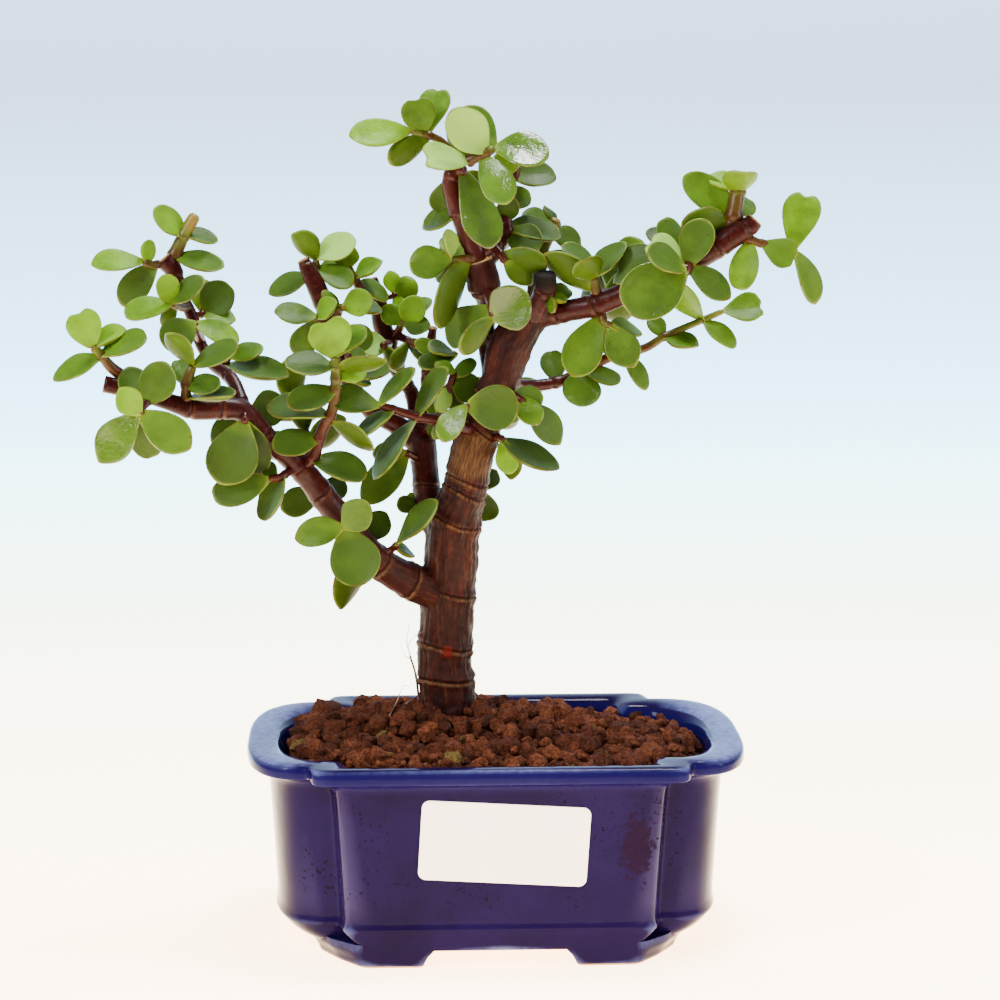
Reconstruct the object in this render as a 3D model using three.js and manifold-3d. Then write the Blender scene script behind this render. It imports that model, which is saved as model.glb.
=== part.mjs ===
// Dwarf jade bonsai (Portulacaria afra) in a glazed four-notched pot.
// Millimetres, +Z up. The numbers below are measured from the middle of the pot's underside;
// the finished group is moved so that its origin is under the middle of its bounding box.

import * as THREE from 'three';
import { mergeVertices } from 'three/addons/utils/BufferGeometryUtils.js';
import Module from 'manifold-3d';

const wasm = await Module();
wasm.setup();

// ---------- driving dimensions ----------

const GAP = 0.3;                  // clearance kept between pieces that touch

const POT_HEIGHT = 62;            // floor to the top of the rim
const RIM_HALF_LENGTH = 76;       // out to the bowed end lobes of the lip
const RIM_HALF_DEPTH = 53;        // out to the front and back of the lip
const BODY_HALF_LENGTH = 69.5;    // wall under the lip
const BODY_HALF_DEPTH = 48.5;
const LIP_THICKNESS = 4.5;
const WALL = 6;
const FOOT_HEIGHT = 5;
const FLOOR_TOP = 11;             // inner floor of the pot
const DRAIN_RADIUS = 6.5;
const DRAIN_OFFSET = 34;          // each of the two drain holes from the middle
const DRAFT = 2.4;                // the wall leans in this much from its top to its foot
const LIP_UNDER = POT_HEIGHT - LIP_THICKNESS;
const WALL_TOP = LIP_UNDER - 3.5; // above this the wall flares out to the lip
const WALL_FOOT = FOOT_HEIGHT + 9;

const SOIL_EDGE = 58.5;           // soil level by the wall
const MOUND_RISE = 9;             // and how much higher it lies round the trunk
const GRAIN_PITCH = 7.4;          // spacing of the clay granules
const GRAIN_RISE = 2.6;
const SOIL_CELL = 6.8;            // side of a facet of the soil's surface

const LABEL = { length: 50, height: 24.5, thickness: 0.5, corner: 2.4, x: 1, z: 38.5, tilt: 3.4 };

const LEAF_THICKNESS = 2.1;
const SLIMMEST_LEAF = 0.58;       // widths of the leaves as shares of their lengths
const BROADEST_LEAF = 0.8;

// ---------- seeded numbers ----------

function seededNumbers(seed) {
  let state = seed;
  return (low, high) => {
    state = (state * 16807) % 2147483647;
    return low + (high - low) * (state / 2147483647);
  };
}

// ---------- meshes and solids ----------

const vector = ([x, y, z]) => new THREE.Vector3(x, y, z);

const middleOf = (ring) => ring.reduce((sum, p) => sum.add(p), new THREE.Vector3())
  .divideScalar(ring.length);

// A closed skin through a row of rings of points. A fan closes each end: the first from the
// middle of its ring, the last from the given end point.
function skin(rings, end = middleOf(rings[rings.length - 1])) {
  const count = rings[0].length;
  const points = rings.flat();
  const faces = [];
  for (let ring = 0; ring < rings.length - 1; ring++) {
    for (let k = 0; k < count; k++) {
      const a = ring * count + k;
      const b = ring * count + (k + 1) % count;
      faces.push(a, b, b + count, a, b + count, a + count);
    }
  }
  const first = points.length;
  points.push(middleOf(rings[0]), end);
  const last = (rings.length - 1) * count;
  for (let k = 0; k < count; k++) {
    const next = (k + 1) % count;
    faces.push(first, next, k, first + 1, last + k, last + next);
  }
  const geometry = new THREE.BufferGeometry().setFromPoints(points);
  geometry.setIndex(faces);
  return geometry;
}

function solidOf(geometry) {
  const bare = geometry.clone();
  bare.deleteAttribute('normal');
  bare.deleteAttribute('uv');
  const merged = mergeVertices(bare, 1e-4);
  return new wasm.Manifold(new wasm.Mesh({
    numProp: 3,
    vertProperties: new Float32Array(merged.getAttribute('position').array),
    triVerts: new Uint32Array(merged.getIndex().array),
  }));
}

function geometryOf(solid) {
  const { vertProperties, triVerts } = solid.getMesh();
  const geometry = new THREE.BufferGeometry();
  geometry.setAttribute('position', new THREE.BufferAttribute(new Float32Array(vertProperties), 3));
  geometry.setIndex(new THREE.BufferAttribute(new Uint32Array(triVerts), 1));
  geometry.computeVertexNormals();
  return geometry;
}

const united = (solids) => solids.reduce((all, next) => all.add(next));

// The largest of the pieces that a cut leaves, so that no loose scrap stays.
function largestPiece(solid) {
  const pieces = solid.decompose();
  return pieces.reduce((best, next) => (next.volume() > best.volume() ? next : best));
}

function boxesMeet(a, b, room) {
  return [0, 1, 2].every((i) => a.min[i] - room < b.max[i] && b.min[i] - room < a.max[i]);
}

// A round limb through points [x, y, z, thickness], grown outwards by extra.
function limb(route, sides, stepsPerSpan, extra = 0) {
  const curve = new THREE.CatmullRomCurve3(route.map(vector), false, 'centripetal');
  const spans = route.length - 1;
  const steps = spans * stepsPerSpan;
  const across = new THREE.Vector3(0, -1, 0.01);
  const rings = [];
  for (let i = 0; i <= steps; i++) {
    const place = (i / steps) * spans;
    const span = Math.min(Math.floor(place), spans - 1);
    const thickness = THREE.MathUtils.lerp(route[span][3], route[span + 1][3], place - span);
    const centre = curve.getPoint(i / steps);
    const along = curve.getTangent(i / steps);
    if (i === 0) centre.addScaledVector(along, -extra);
    if (i === steps) centre.addScaledVector(along, extra);
    across.projectOnPlane(along).normalize();
    const beside = new THREE.Vector3().crossVectors(along, across);
    const ring = [];
    for (let k = 0; k < sides; k++) {
      const angle = (k / sides) * 2 * Math.PI;
      ring.push(centre.clone()
        .addScaledVector(across, Math.cos(angle) * (thickness / 2 + extra))
        .addScaledVector(beside, Math.sin(angle) * (thickness / 2 + extra)));
    }
    rings.push(ring);
  }
  return solidOf(skin(rings));
}

// ---------- pot ----------

// Half of one quarter of the pot's plan: the panel's corner, the inner corner of the notch, and
// the bowed lobe from there to the end of the pot. panel and depth reach the panel's corner,
// notch is how far back the inner corner lies, and reach is the end of the lobe.
function quarterPlan({ panel, depth, notch, reach }) {
  const inner = new THREE.Vector2(panel + 1.5, depth - notch);
  const lobe = new THREE.CubicBezierCurve(
    inner,
    new THREE.Vector2(THREE.MathUtils.lerp(panel, reach, 0.6), depth - notch + 2.5),
    new THREE.Vector2(reach + 1, depth - notch - 6),
    new THREE.Vector2(reach, 0),
  );
  return [
    new THREE.Vector2(panel - 1.5, depth),
    new THREE.Vector2(panel, depth - 1.5),
    ...lobe.getPoints(5),
  ];
}

function potRing(size, z) {
  const front = quarterPlan(size);
  const back = quarterPlan({ ...size, panel: size.panel - 4 });
  const at = (x, y) => new THREE.Vector3(x, y, z);
  const last = front.length - 1;
  return [
    ...front.map((p) => at(p.x, -p.y)),
    ...back.slice(0, last).reverse().map((p) => at(p.x, p.y)),
    ...back.map((p) => at(-p.x, p.y)),
    ...front.slice(0, last).reverse().map((p) => at(-p.x, -p.y)),
  ];
}

// The pot's plan at the wall, moved outwards by out.
function wallSize(out) {
  return {
    panel: 48.5 + out,
    depth: BODY_HALF_DEPTH + out,
    notch: 10,
    reach: BODY_HALF_LENGTH + out,
  };
}

// The same at the foot of the wall, which draws in further at the lobes than at the panels.
const soleSize = (out) => ({ ...wallSize(out), depth: BODY_HALF_DEPTH - DRAFT + 0.2 * (out + DRAFT) });

const lipSize = (out) => ({
  panel: 55.5 + out,
  depth: RIM_HALF_DEPTH + out,
  notch: 9,
  reach: RIM_HALF_LENGTH + out,
});

function makeFoot(signX, signY) {
  const outline = [[56, 12], [56, 28], [50, 38], [43, 45.2], [22, 45.4], [22, 37], [41, 36], [47, 29],
    [47, 12]];
  const shape = new THREE.Shape(outline.map(([x, y]) => new THREE.Vector2(x * signX, y * signY)));
  const depth = FOOT_HEIGHT + 3;
  return solidOf(new THREE.ExtrudeGeometry(shape, { depth, bevelEnabled: false }));
}

function drainHole(x, radius, low, high) {
  const hole = new THREE.CylinderGeometry(radius, radius, high - low, 20);
  hole.rotateX(Math.PI / 2);
  hole.translate(x, 0, (low + high) / 2);
  return solidOf(hole);
}

function makePot() {
  const rings = [
    potRing(soleSize(-DRAFT - 6.5), FOOT_HEIGHT),
    potRing(soleSize(-DRAFT - 2), FOOT_HEIGHT + 3),
    potRing(wallSize(-DRAFT + 0.6), FOOT_HEIGHT + 6.5),
    potRing(wallSize(-DRAFT), WALL_FOOT),
    potRing(wallSize(0), WALL_TOP),
    potRing(wallSize(1.6), LIP_UNDER - 1),
    potRing(lipSize(-1), LIP_UNDER),
    potRing(lipSize(0), LIP_UNDER + 1.2),
    potRing(lipSize(0), POT_HEIGHT - 1.4),
    potRing(lipSize(-1.2), POT_HEIGHT),
    potRing(wallSize(-WALL + 4.4), POT_HEIGHT - 0.2),
    potRing(wallSize(-WALL + 1.5), POT_HEIGHT - 3),
    potRing(wallSize(-WALL - DRAFT), FLOOR_TOP + 4),
    potRing(wallSize(-WALL - DRAFT - 4), FLOOR_TOP),
  ];
  let pot = solidOf(skin(rings));
  for (const signX of [-1, 1]) {
    for (const signY of [-1, 1]) pot = pot.add(makeFoot(signX, signY));
    pot = pot.subtract(drainHole(signX * DRAIN_OFFSET, DRAIN_RADIUS, -1, FLOOR_TOP + 1));
  }
  return pot;
}

// A square of plastic mesh that keeps the soil in over one drain hole.
const MESH_SIDE = 20;
const MESH_THICKNESS = 1;
const MESH_PITCH = 6;
const MESH_OPENING = 4;

function block(side, height, x, y, z) {
  return solidOf(new THREE.BoxGeometry(side, side, height).translate(x, y, z));
}

function makeDrainMesh(x) {
  const z = FLOOR_TOP + GAP + MESH_THICKNESS / 2;
  let plate = block(MESH_SIDE, MESH_THICKNESS, x, 0, z);
  for (let row = -1; row <= 1; row++) {
    for (let column = -1; column <= 1; column++) {
      const hole = block(MESH_OPENING, 3 * MESH_THICKNESS, x + column * MESH_PITCH, row * MESH_PITCH, z);
      plate = plate.subtract(hole);
    }
  }
  return plate;
}

// ---------- label ----------

// A blank rounded sticker on the front panel, which leans back by the draft.
function makeLabel() {
  const { length, height, corner, thickness } = LABEL;
  const [h, v] = [length / 2, height / 2];
  const shape = new THREE.Shape();
  shape.moveTo(-h + corner, -v).lineTo(h - corner, -v).quadraticCurveTo(h, -v, h, -v + corner)
    .lineTo(h, v - corner).quadraticCurveTo(h, v, h - corner, v)
    .lineTo(-h + corner, v).quadraticCurveTo(-h, v, -h, v - corner)
    .lineTo(-h, -v + corner).quadraticCurveTo(-h, -v, -h + corner, -v);
  const plate = new THREE.ExtrudeGeometry(shape, {
    depth: thickness,
    bevelEnabled: false,
    curveSegments: 3,
  });
  const lean = Math.atan2(DRAFT, WALL_TOP - WALL_FOOT);
  plate.rotateZ(THREE.MathUtils.degToRad(-LABEL.tilt));
  plate.rotateX(Math.PI / 2 + lean);
  const panelY = -BODY_HALF_DEPTH + DRAFT * (WALL_TOP - LABEL.z) / (WALL_TOP - WALL_FOOT);
  plate.translate(LABEL.x, panelY - GAP, LABEL.z);
  return solidOf(plate);
}

// ---------- wood ----------

// Each limb of the old wood as [x, y, z, thickness]. The trunk stands on the pot's left, the
// limbs leave it with a ring-shaped scar, and most end in an old pruning cut.
const LIMBS = {
  trunk: [[-14, 8, 44, 20], [-14, 8, 54, 19], [-14, 8, 69, 17.6], [-15, 8, 82, 16.6], [-14, 7, 102, 16.6],
    [-13, 6, 115, 16.3], [-12, 4, 127, 16.6], [-9, 2, 137, 13.4], [-6, 0, 151, 13.4], [-4, 0, 156, 12],
    [2, 0, 171, 12.2], [5, 0, 181, 13.4], [10, 0, 189, 12]],
  charredStub: [[8, 0, 184, 8], [12, -4, 192, 6.3], [15, -8, 199, 6.7], [15, -10, 204, 6.7]],
  leftBranch: [[-13, 6, 103, 12], [-21, 4, 106, 11.7], [-35, -2, 115, 9.8], [-47, -8, 130, 8.5],
    [-59, -12, 146, 7.5], [-69, -16, 156, 6.4], [-76, -18, 164, 6.7], [-90, -21, 165, 6.3],
    [-99, -23, 168, 5.1], [-108, -24, 171, 4.6], [-116, -25, 173, 5.3]],
  topLeft: [[-75, -17, 163, 5], [-79, -8, 172, 4.3], [-85, 0, 176, 3.9], [-89, 4, 182, 3.9],
    [-92, 6, 191, 3.9], [-95, 6, 197, 4.2], [-97, 6, 204, 5.6], [-100, 6, 208, 7]],
  secondTrunk: [[-15, 6, 121, 8], [-19, 11, 128, 8.7], [-21, 15, 143, 8.7], [-22, 17, 150, 9.7]],
  stubOne: [[-21, 17, 148, 8], [-28, 17, 154, 6.8], [-37, 15, 160, 6.2], [-43, 13, 167, 5.6],
    [-46, 11, 176, 5.6], [-50, 10, 188, 5.6], [-54, 10, 199, 6.2], [-58, 10, 207, 4]],
  spurOne: [[-50, 10, 185, 4], [-48, 9, 190, 3.4]],
  stubTwo: [[-21, 17, 149, 6.8], [-23, 20, 155, 5.6], [-25, 24, 165, 4.7], [-30, 27, 172, 4.4],
    [-32, 28, 180, 5.7], [-34, 28, 186, 6], [-35, 28, 194, 4.7], [-37, 28, 200, 3.8]],
  spurTwo: [[-33, 28, 179, 3.8], [-29, 27, 182, 3.5]],
  uprightStem: [[-21, 17, 149, 5.6], [-20, 18, 156, 4.7], [-20, 18, 171, 4.1], [-19, 16, 180, 3.4],
    [-18, 14, 186, 2.8]],
  leader: [[1, 3, 167, 7.4], [-2, 7, 181, 5.4], [-2, 4, 190, 5.7], [-2, 1, 196, 7.6], [-3, 0, 200, 10.2],
    [-5, 0, 207, 9.6]],
  leaderFork: [[-4, 0, 206, 7.3], [2, 4, 212, 4.9]],
  rightBranch: [[6, 0, 184, 11], [12, -1, 189, 7.4], [21, -4, 192, 6.8], [30, -6, 194, 6.8],
    [44, -8, 200, 6.4], [59, -10, 207, 6.3], [71, -11, 215, 7.4], [76, -11, 218, 6], [78, -11, 220, 5.4]],
  backStem: [[8, 2, 184, 6.1], [12, 11, 194, 4]],
};

// Woody roots that run out and down from the foot of the trunk, inside the soil.
const ROOTS = 4;

function rootRoute(k) {
  const angle = ((k + 0.3) / ROOTS) * 2 * Math.PI;
  const [x, y] = [Math.cos(angle), Math.sin(angle)];
  return [[-14, 8, 56, 9], [-14 + 14 * x, 8 + 11 * y, 48, 7], [-14 + 30 * x, 8 + 20 * y, 36, 4.5]];
}

function woodSolid(extra) {
  const sides = (route) => (route[0][3] > 11 ? 9 : 6);
  const limbs = Object.values(LIMBS).map((route) => limb(route, sides(route), 1, extra));
  for (let k = 0; k < ROOTS; k++) limbs.push(limb(rootRoute(k), 5, 1, extra));
  return united(limbs);
}

// ---------- soil ----------

const TRUNK_FOOT = { x: -14, y: 8 };

function soilLevel(x, y) {
  const spread = ((x - TRUNK_FOOT.x) / 44) ** 2 + ((y - TRUNK_FOOT.y) / 30) ** 2;
  return SOIL_EDGE + MOUND_RISE * Math.exp(-spread) - 0.018 * (x + y);
}

// A bed of clay granules: each granule is a low dome about its own seed point.
function makeSoil() {
  const random = seededNumbers(4207);
  const [halfLength, halfDepth] = [72, 50];
  const grains = [];
  let row = 0;
  for (let y = -halfDepth - 4; y <= halfDepth + 4; y += GRAIN_PITCH * 0.87) {
    const shift = (row++ % 2) * GRAIN_PITCH / 2;
    for (let x = -halfLength - 4; x <= halfLength + 4; x += GRAIN_PITCH) {
      const grain = { x: x + shift + random(-1.6, 1.6), y: y + random(-1.6, 1.6) };
      grain.rise = GRAIN_RISE + random(-1.2, 1.2);
      grain.size = GRAIN_PITCH * random(0.55, 0.75);
      grains.push(grain);
    }
  }
  const height = (x, y) => {
    let best = 0;
    for (const grain of grains) {
      const part = ((x - grain.x) ** 2 + (y - grain.y) ** 2) / grain.size ** 2;
      if (part < 1) best = Math.max(best, grain.rise * Math.sqrt(1 - part));
    }
    return soilLevel(x, y) + best - GRAIN_RISE / 2;
  };
  const columns = Math.round(2 * halfLength / SOIL_CELL);
  const rows = Math.round(2 * halfDepth / SOIL_CELL);
  const top = new THREE.PlaneGeometry(2 * halfLength, 2 * halfDepth, columns, rows);
  const place = top.getAttribute('position');
  for (let i = 0; i < place.count; i++) place.setZ(i, height(place.getX(i), place.getY(i)));
  const bed = solidOf(skirted(top, columns, rows, FLOOR_TOP - 5));
  const lowest = FLOOR_TOP + GAP;
  const room = solidOf(skin([
    potRing(wallSize(-WALL - DRAFT - 4 - GAP), lowest),
    potRing(wallSize(-WALL - DRAFT - GAP), FLOOR_TOP + 4),
    potRing(wallSize(-WALL + 1.5 - GAP), POT_HEIGHT - 3),
    potRing(wallSize(-WALL + 1.5 - GAP), POT_HEIGHT + 20),
  ]));
  return bed.intersect(room);
}

// A height field closed by straight sides and a flat underside at the given level.
function skirted(top, columns, rows, level) {
  const place = top.getAttribute('position');
  const points = [];
  for (let i = 0; i < place.count; i++) points.push(new THREE.Vector3().fromBufferAttribute(place, i));
  const faces = Array.from(top.getIndex().array);
  const at = (column, row) => row * (columns + 1) + column;
  const border = [];
  for (let c = 0; c < columns; c++) border.push(at(c, 0));
  for (let r = 0; r < rows; r++) border.push(at(columns, r));
  for (let c = columns; c > 0; c--) border.push(at(c, rows));
  for (let r = rows; r > 0; r--) border.push(at(0, r));
  const low = points.length;
  for (const i of border) points.push(new THREE.Vector3(points[i].x, points[i].y, level));
  const centre = points.length;
  points.push(new THREE.Vector3(0, 0, level));
  for (let k = 0; k < border.length; k++) {
    const next = (k + 1) % border.length;
    faces.push(border[k], border[next], low + next, border[k], low + next, low + k);
    faces.push(low + k, low + next, centre);
  }
  const geometry = new THREE.BufferGeometry().setFromPoints(points);
  geometry.setIndex(faces);
  return geometry;
}

// ---------- leaves ----------

// Which way a leaf's upper face looks: towards the tip of its stem (S), or as named.
const S = null;
const F = [0, -1, 0.25];
const FU = [0, -1, 1];
const U = [0, -0.35, 1];
const B = [0, 1, 0.4];
const BU = [0, 1, 1];
const L = [-1, -0.5, 0.3];
const R = [1, -0.5, 0.3];

// Half width of a spoon-shaped leaf, as a share of its width, along its length.
const LEAF_ROWS = [[0, 0.06], [0.36, 0.41], [0.76, 0.48]];

// The turns that a leaf may take to stay clear of its neighbours, in the order they are tried:
// sideways, up or down, and about its own midrib, in degrees.
const SWINGS = [[0, 0, 0], [0, 8, 0], [0, -8, 0], [8, 0, 0], [-8, 0, 0], [0, 0, 20], [0, 0, -20],
  [0, 16, 0], [0, -16, 0], [16, 0, 0], [-16, 0, 0], [12, 12, 15], [-12, 12, -15], [12, -12, -15],
  [-12, -12, 15], [0, 26, 0], [0, -26, 0], [26, 0, 0], [-26, 0, 0], [24, 20, 20], [-24, 20, -20],
  [24, -20, -20], [-24, -20, 20], [0, 0, 50], [0, 0, -50], [0, 40, 0], [0, -40, 0]];
const SHRINKS = [1, 0.85, 0.7];

function leafFrame(leaf, swing, shrink) {
  const reach = leaf.reach.clone().multiplyScalar(shrink);
  const along = reach.clone().normalize();
  const face = leaf.face.clone().projectOnPlane(along).normalize();
  const side = new THREE.Vector3().crossVectors(along, face);
  const turn = (axis, degrees) => {
    const angle = THREE.MathUtils.degToRad(degrees);
    for (const arrow of [along, face, side]) arrow.applyAxisAngle(axis, angle);
  };
  turn(face.clone(), swing[0]);
  turn(side.clone(), swing[1]);
  turn(along.clone(), swing[2]);
  return { along, face, side, length: reach.length(), width: leaf.width * shrink };
}

// A fleshy leaf: flat to slightly folded above, keeled below, closed at a rounded tip.
function leafSolid(leaf, frame, extra = 0) {
  const { along, face, side } = frame;
  const length = frame.length + 2 * extra;
  const at = (u, v, w) => leaf.root.clone()
    .addScaledVector(along, u * length - extra)
    .addScaledVector(side, v)
    .addScaledVector(face, w - leaf.bow * frame.length * u * u);
  const rings = LEAF_ROWS.map(([u, half]) => {
    const reach = half * frame.width + extra;
    const lift = leaf.fold * half * frame.width;
    const body = 0.45 + 0.55 * Math.min(1, 2 * half);
    return [
      at(u, 0, LEAF_THICKNESS * 0.35 * body + extra),
      at(u, reach, lift),
      at(u, 0, -LEAF_THICKNESS * 0.65 * body - extra),
      at(u, -reach, lift),
    ];
  });
  return solidOf(skin(rings, at(1, 0, 0)));
}

// ---------- leafy shoots ----------

const shoots = [];

// A leafy stem: its name, its course [x, y, z], its thickness at foot and tip, and its leaves as
// [place along the stem, reach from the stem to the leaf's tip x, y, z, width, upper face], and
// true where the width is the leaf's own and not the one that shows from the front.
function shoot(name, course, foot, tip, leaves) {
  shoots.push({ name, course: course.map(vector), foot, tip, leaves });
}

function placeOn(course, share) {
  const lengths = course.slice(1).map((p, i) => p.distanceTo(course[i]));
  let left = share * lengths.reduce((sum, l) => sum + l, 0);
  let span = 0;
  while (span < lengths.length - 1 && left > lengths[span]) left -= lengths[span++];
  const along = course[span + 1].clone().sub(course[span]).normalize();
  return { point: course[span].clone().addScaledVector(along, left), along };
}

shoot('shoot_apex_stem', [[-5, 0, 207], [-8, -1, 216], [-12, -2, 226], [-13, -2, 232],
  [-9, -3, 236]], 7.9, 4.6, [
  [0.95, 8, -8, -23, 12.5, F],
  [0.85, -4, 5, -12, 9, F],
  [0.50, -12, 5, -3, 7.5, U],
]);
shoot('shoot_apex_left', [[-11, -2, 237], [-16, -2, 243], [-20, -3, 245], [-25, -4, 246]], 3.0, 2.1, [
  [1.00, -18, -4, -1, 9.5, F],
  [0.80, -2, -3, 11, 11, F],
  [0.70, 3, 6, 15, 9, F],
  [0.65, -13, -2, -7, 7.5, B],
]);
shoot('shoot_apex_crown', [[-8, -2, 237], [-4, -4, 239], [0, -4, 241]], 3.4, 2.7, [
  [0.10, -16, -9, 0, 9.5, F],
  [0.75, -12, -8, 12, 12.5, F],
  [1.00, -9, 7, 12, 10.5, FU],
  [1.00, 16, -4, -1, 11, FU],
  [0.55, 7, -9, -14, 11, F],
  [0.05, -6, 6, 10, 6.5, B],
]);
shoot('shoot_second_leader', [[2, 4, 212], [4, 4, 216], [3, 5, 224], [6, 6, 231],
  [8, 7, 235]], 4.6, 1.8, [
  [0.85, 13, 2, 1, 9, U],
  [0.90, 1, 6, 7, 6, R],
  [0.85, -5, -2, 8, 7.5, F],
  [0.45, 8, 6, 5, 7.5, F],
  [0.30, 2, -5, 7, 7, F],
  [0.20, 17, 3, -1, 8.5, U],
  [0.15, 11, -5, -5, 10, F],
]);
shoot('shoot_apex_left_low', [[-6, -3, 208], [-10, -5, 208], [-13, -6, 208]], 2.7, 2.1, [
  [1.00, -13, -3, -2, 10, F],
  [1.00, -1, -2, 9, 4, R],
  [0.50, -9, 6, -6, 6.5, F],
  [0.50, -6, 6, 7, 6, F],
  [0.20, -10, -6, -21, 8.5, B],
]);
shoot('shoot_leader_front', [[-2, -3, 198], [-1, -9, 195], [-1, -12, 191]], 4.0, 2.4, [
  [1.00, 10.5, -4, 7, 15, F],
  [1.00, -10, -5, -10, 7, B],
  [0.68, -15, 10, -10, 10.5, F],
]);
shoot('shoot_leader_right', [[-3, -1, 209], [0, -3, 211], [2, -6, 209], [3, -7, 207]], 3.0, 2.4, [
  [0.72, 14, -4, -4, 7.5, B],
  [0.97, 8, 3, -7, 6.5, B],
]);
shoot('shoot_back_right_stub', [[12, 11, 194], [14, 14, 206], [16, 15, 210], [20, 16, 219]], 3.7, 3.7, [
  [0.95, -10, -6, 2, 7, U],
  [0.95, -3, 2, 5, 3, R],
  [0.80, 10, 3, -3, 7.5, FU],
  [0.55, 9, -4, -3, 7, U],
]);
shoot('shoot_right_upright', [[31, -6, 196], [30, -7, 201], [30, -7, 203]], 3.3, 2.7, [
  [0.86, -4, -9, 7, 9.5, S],
  [1.00, 9, 2, 10, 6.5, S],
  [1.00, -9, 3, 10, 6.5, S],
  [0.35, -16, -3, 10, 8, BU],
]);
shoot('shoot_right_fork', [[17, -4, 192], [16, -9, 197]], 2.4, 2.1, [
  [0.93, 5, -4, -6, 4.5, L],
  [0.93, 6, 6, 1, 6, F],
  [0.79, 11, 9, 0, 5.5, F],
]);
shoot('shoot_right_hanging', [[32, -5, 193], [33, -7, 189], [35, -8, 188]], 3.0, 2.1, [
  [0.30, -9.5, -4, -18, 12, F],
  [0.91, 7, -3, -12, 10.5, F],
  [0.96, 10, 5, -2, 6, U],
  [0.56, 0, 6, -6, 4.5, F],
]);
shoot('shoot_right_middle', [[58, -12, 207], [57, -17, 206], [56, -21, 206]], 3.3, 2.4, [
  [1.00, -19, -4, -11, 17.5, F],
  [0.40, -23, 8, 0, 13, FU],
  [0.45, 12, -2, -9, 8.5, FU],
  [0.40, -12, 2, 8, 9, FU],
  [0.90, -13, -5, 4, 9, U],
  [0.40, 5, 0, 14, 10.5, F],
]);
shoot('shoot_right_behind', [[58, -8, 207], [58, 0, 209], [57, 4, 211]], 2.4, 2.1, [
  [0.89, -6, 3, 9, 8, F],
  [0.91, -10, 5, 6, 6, F],
  [0.75, 5, 5, 9, 7.5, F],
]);
shoot('shoot_right_top', [[71, -9, 217], [72, -9, 224], [73, -8, 229], [74, -7, 234]], 5.4, 4.5, [
  [0.20, -15, 2, 12, 11, F],
  [0.10, -15, -7, -2, 8.5, B],
  [0.65, -8, 3, 5, 6, S],
  [0.65, 0, -10, 7, 11, S],
  [0.25, 6, 9, 5, 9, F],
  [0.20, -9, 9, 2, 6, F],
]);
shoot('shoot_right_tip', [[74, -11, 215], [79, -11, 213], [86, -10, 212], [90, -9, 210]], 3.0, 1.8, [
  [0.36, 10, -4, -5, 9, F],
  [0.95, 5, 4, 18, 11, F],
  [1.00, 8, 1, -15, 8, F],
  [0.15, -4, -4, -15, 9, F],
]);
shoot('shoot_low_right', [[5, 3, 170], [10, 9, 168], [21, 12, 169], [36, 14, 176],
  [48, 16, 179], [53, 16, 182], [65, 18, 187], [72, 18, 190]], 4.3, 1.9, [
  [0.37, -2, -8, -11, 12, FU],
  [0.37, 11, -4, -3, 6, FU],
  [0.55, 7, -3, -11, 6, F],
  [0.51, -5, 6, 5, 4.5, F],
  [0.73, 10, -5, -2, 5, U],
  [0.73, -4, 4, 6, 5.5, F],
  [0.91, -9, -3, 11, 5.5, L],
  [1.00, 13, 0, 1.5, 9, FU],
  [0.91, 10, -4, -8, 6, F],
  [0.24, -1, 7, 9, 8, F],
]);
shoot('shoot_trunk_right', [[4, -3, 167], [7, -6, 166], [9, -7, 165]], 3.0, 2.1, [
  [0.20, 10, -2, -2, 8, F],
  [0.95, 13, 2, -11, 9, F],
  [0.40, 7, -6, -8, 8, FU],
]);
shoot('shoot_trunk_right_low', [[-1, -3, 153], [1, -6, 154], [3, -7, 153]], 3.0, 2.1, [
  [0.60, 18, -3, -10, 7.5, R],
  [0.87, 5, -2, -9, 7, F],
  [0.91, 3, 6, -12, 6, B],
]);
shoot('shoot_trunk_back_low', [[-5, 6, 137], [-3, 9, 135]], 2.8, 2.2, [
  [0.90, 2, 4, -10, 8, F],
  [0.65, 5, 8, 5, 7, F],
]);
shoot('shoot_trunk_front', [[-3, -4, 161], [-5, -9, 162], [-7, -13, 163], [-9, -15, 165]], 2.7, 2.1, [
  [0.97, 15.5, -2, 0, 14, F],
  [1.00, -8, -3, -10, 7.5, FU],
]);
shoot('shoot_red_side', [[-7, -4, 156], [-10, -8, 157], [-16, -10, 160], [-23, -12, 161],
  [-29, -13, 163], [-35, -14, 165]], 3.9, 2.4, [
  [0.62, 8.5, -2, 15, 6, L],
  [0.62, -15, -3, -17, 5.5, FU],
  [1.00, 9, -3, 12, 5, L],
  [1.00, -14, -4, 3, 9, FU],
  [0.87, -10, -5, -7, 5, L],
  [0.35, -3, 3, -6, 4.5, B],
]);
shoot('shoot_front_upright', [[-57, -13, 147], [-55, -15, 149], [-52, -16, 158],
  [-49, -17, 164], [-48, -18, 172], [-48, -18, 180]], 3.6, 3.3, [
  [1.00, -3, -4, 12, 14, F],
  [1.00, 8, 5, 9, 8, S],
  [0.91, -15, -4, 2, 7, U],
  [0.91, 15, -2, 3, 4.5, BU],
  [0.82, 9, 6, 2, 6, F],
  [0.73, -14, -6, -4, 8.5, FU],
  [0.50, -18, 3, 4, 8, U],
  [0.28, -14, -5, -3, 8.5, FU],
  [0.10, 16, -5, -5, 8.5, U],
  [0.46, 16, 2, -5, 4.5, B],
]);
shoot('shoot_left_small', [[-61, -14, 146], [-65, -19, 144], [-68, -21, 144]], 2.7, 2.4, [
  [1.00, -17, -3, -5, 10, F],
  [0.41, -6, -4, -14, 7, L],
  [0.75, -4, 6, 4, 5, F],
]);
shoot('shoot_left_behind', [[-53, -7, 137], [-54, -2, 138], [-53, 3, 135]], 2.4, 2.5, [
  [1.00, -12, 3, -4, 9, F],
  [1.00, 8, 5, 4, 7.5, F],
]);
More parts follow.
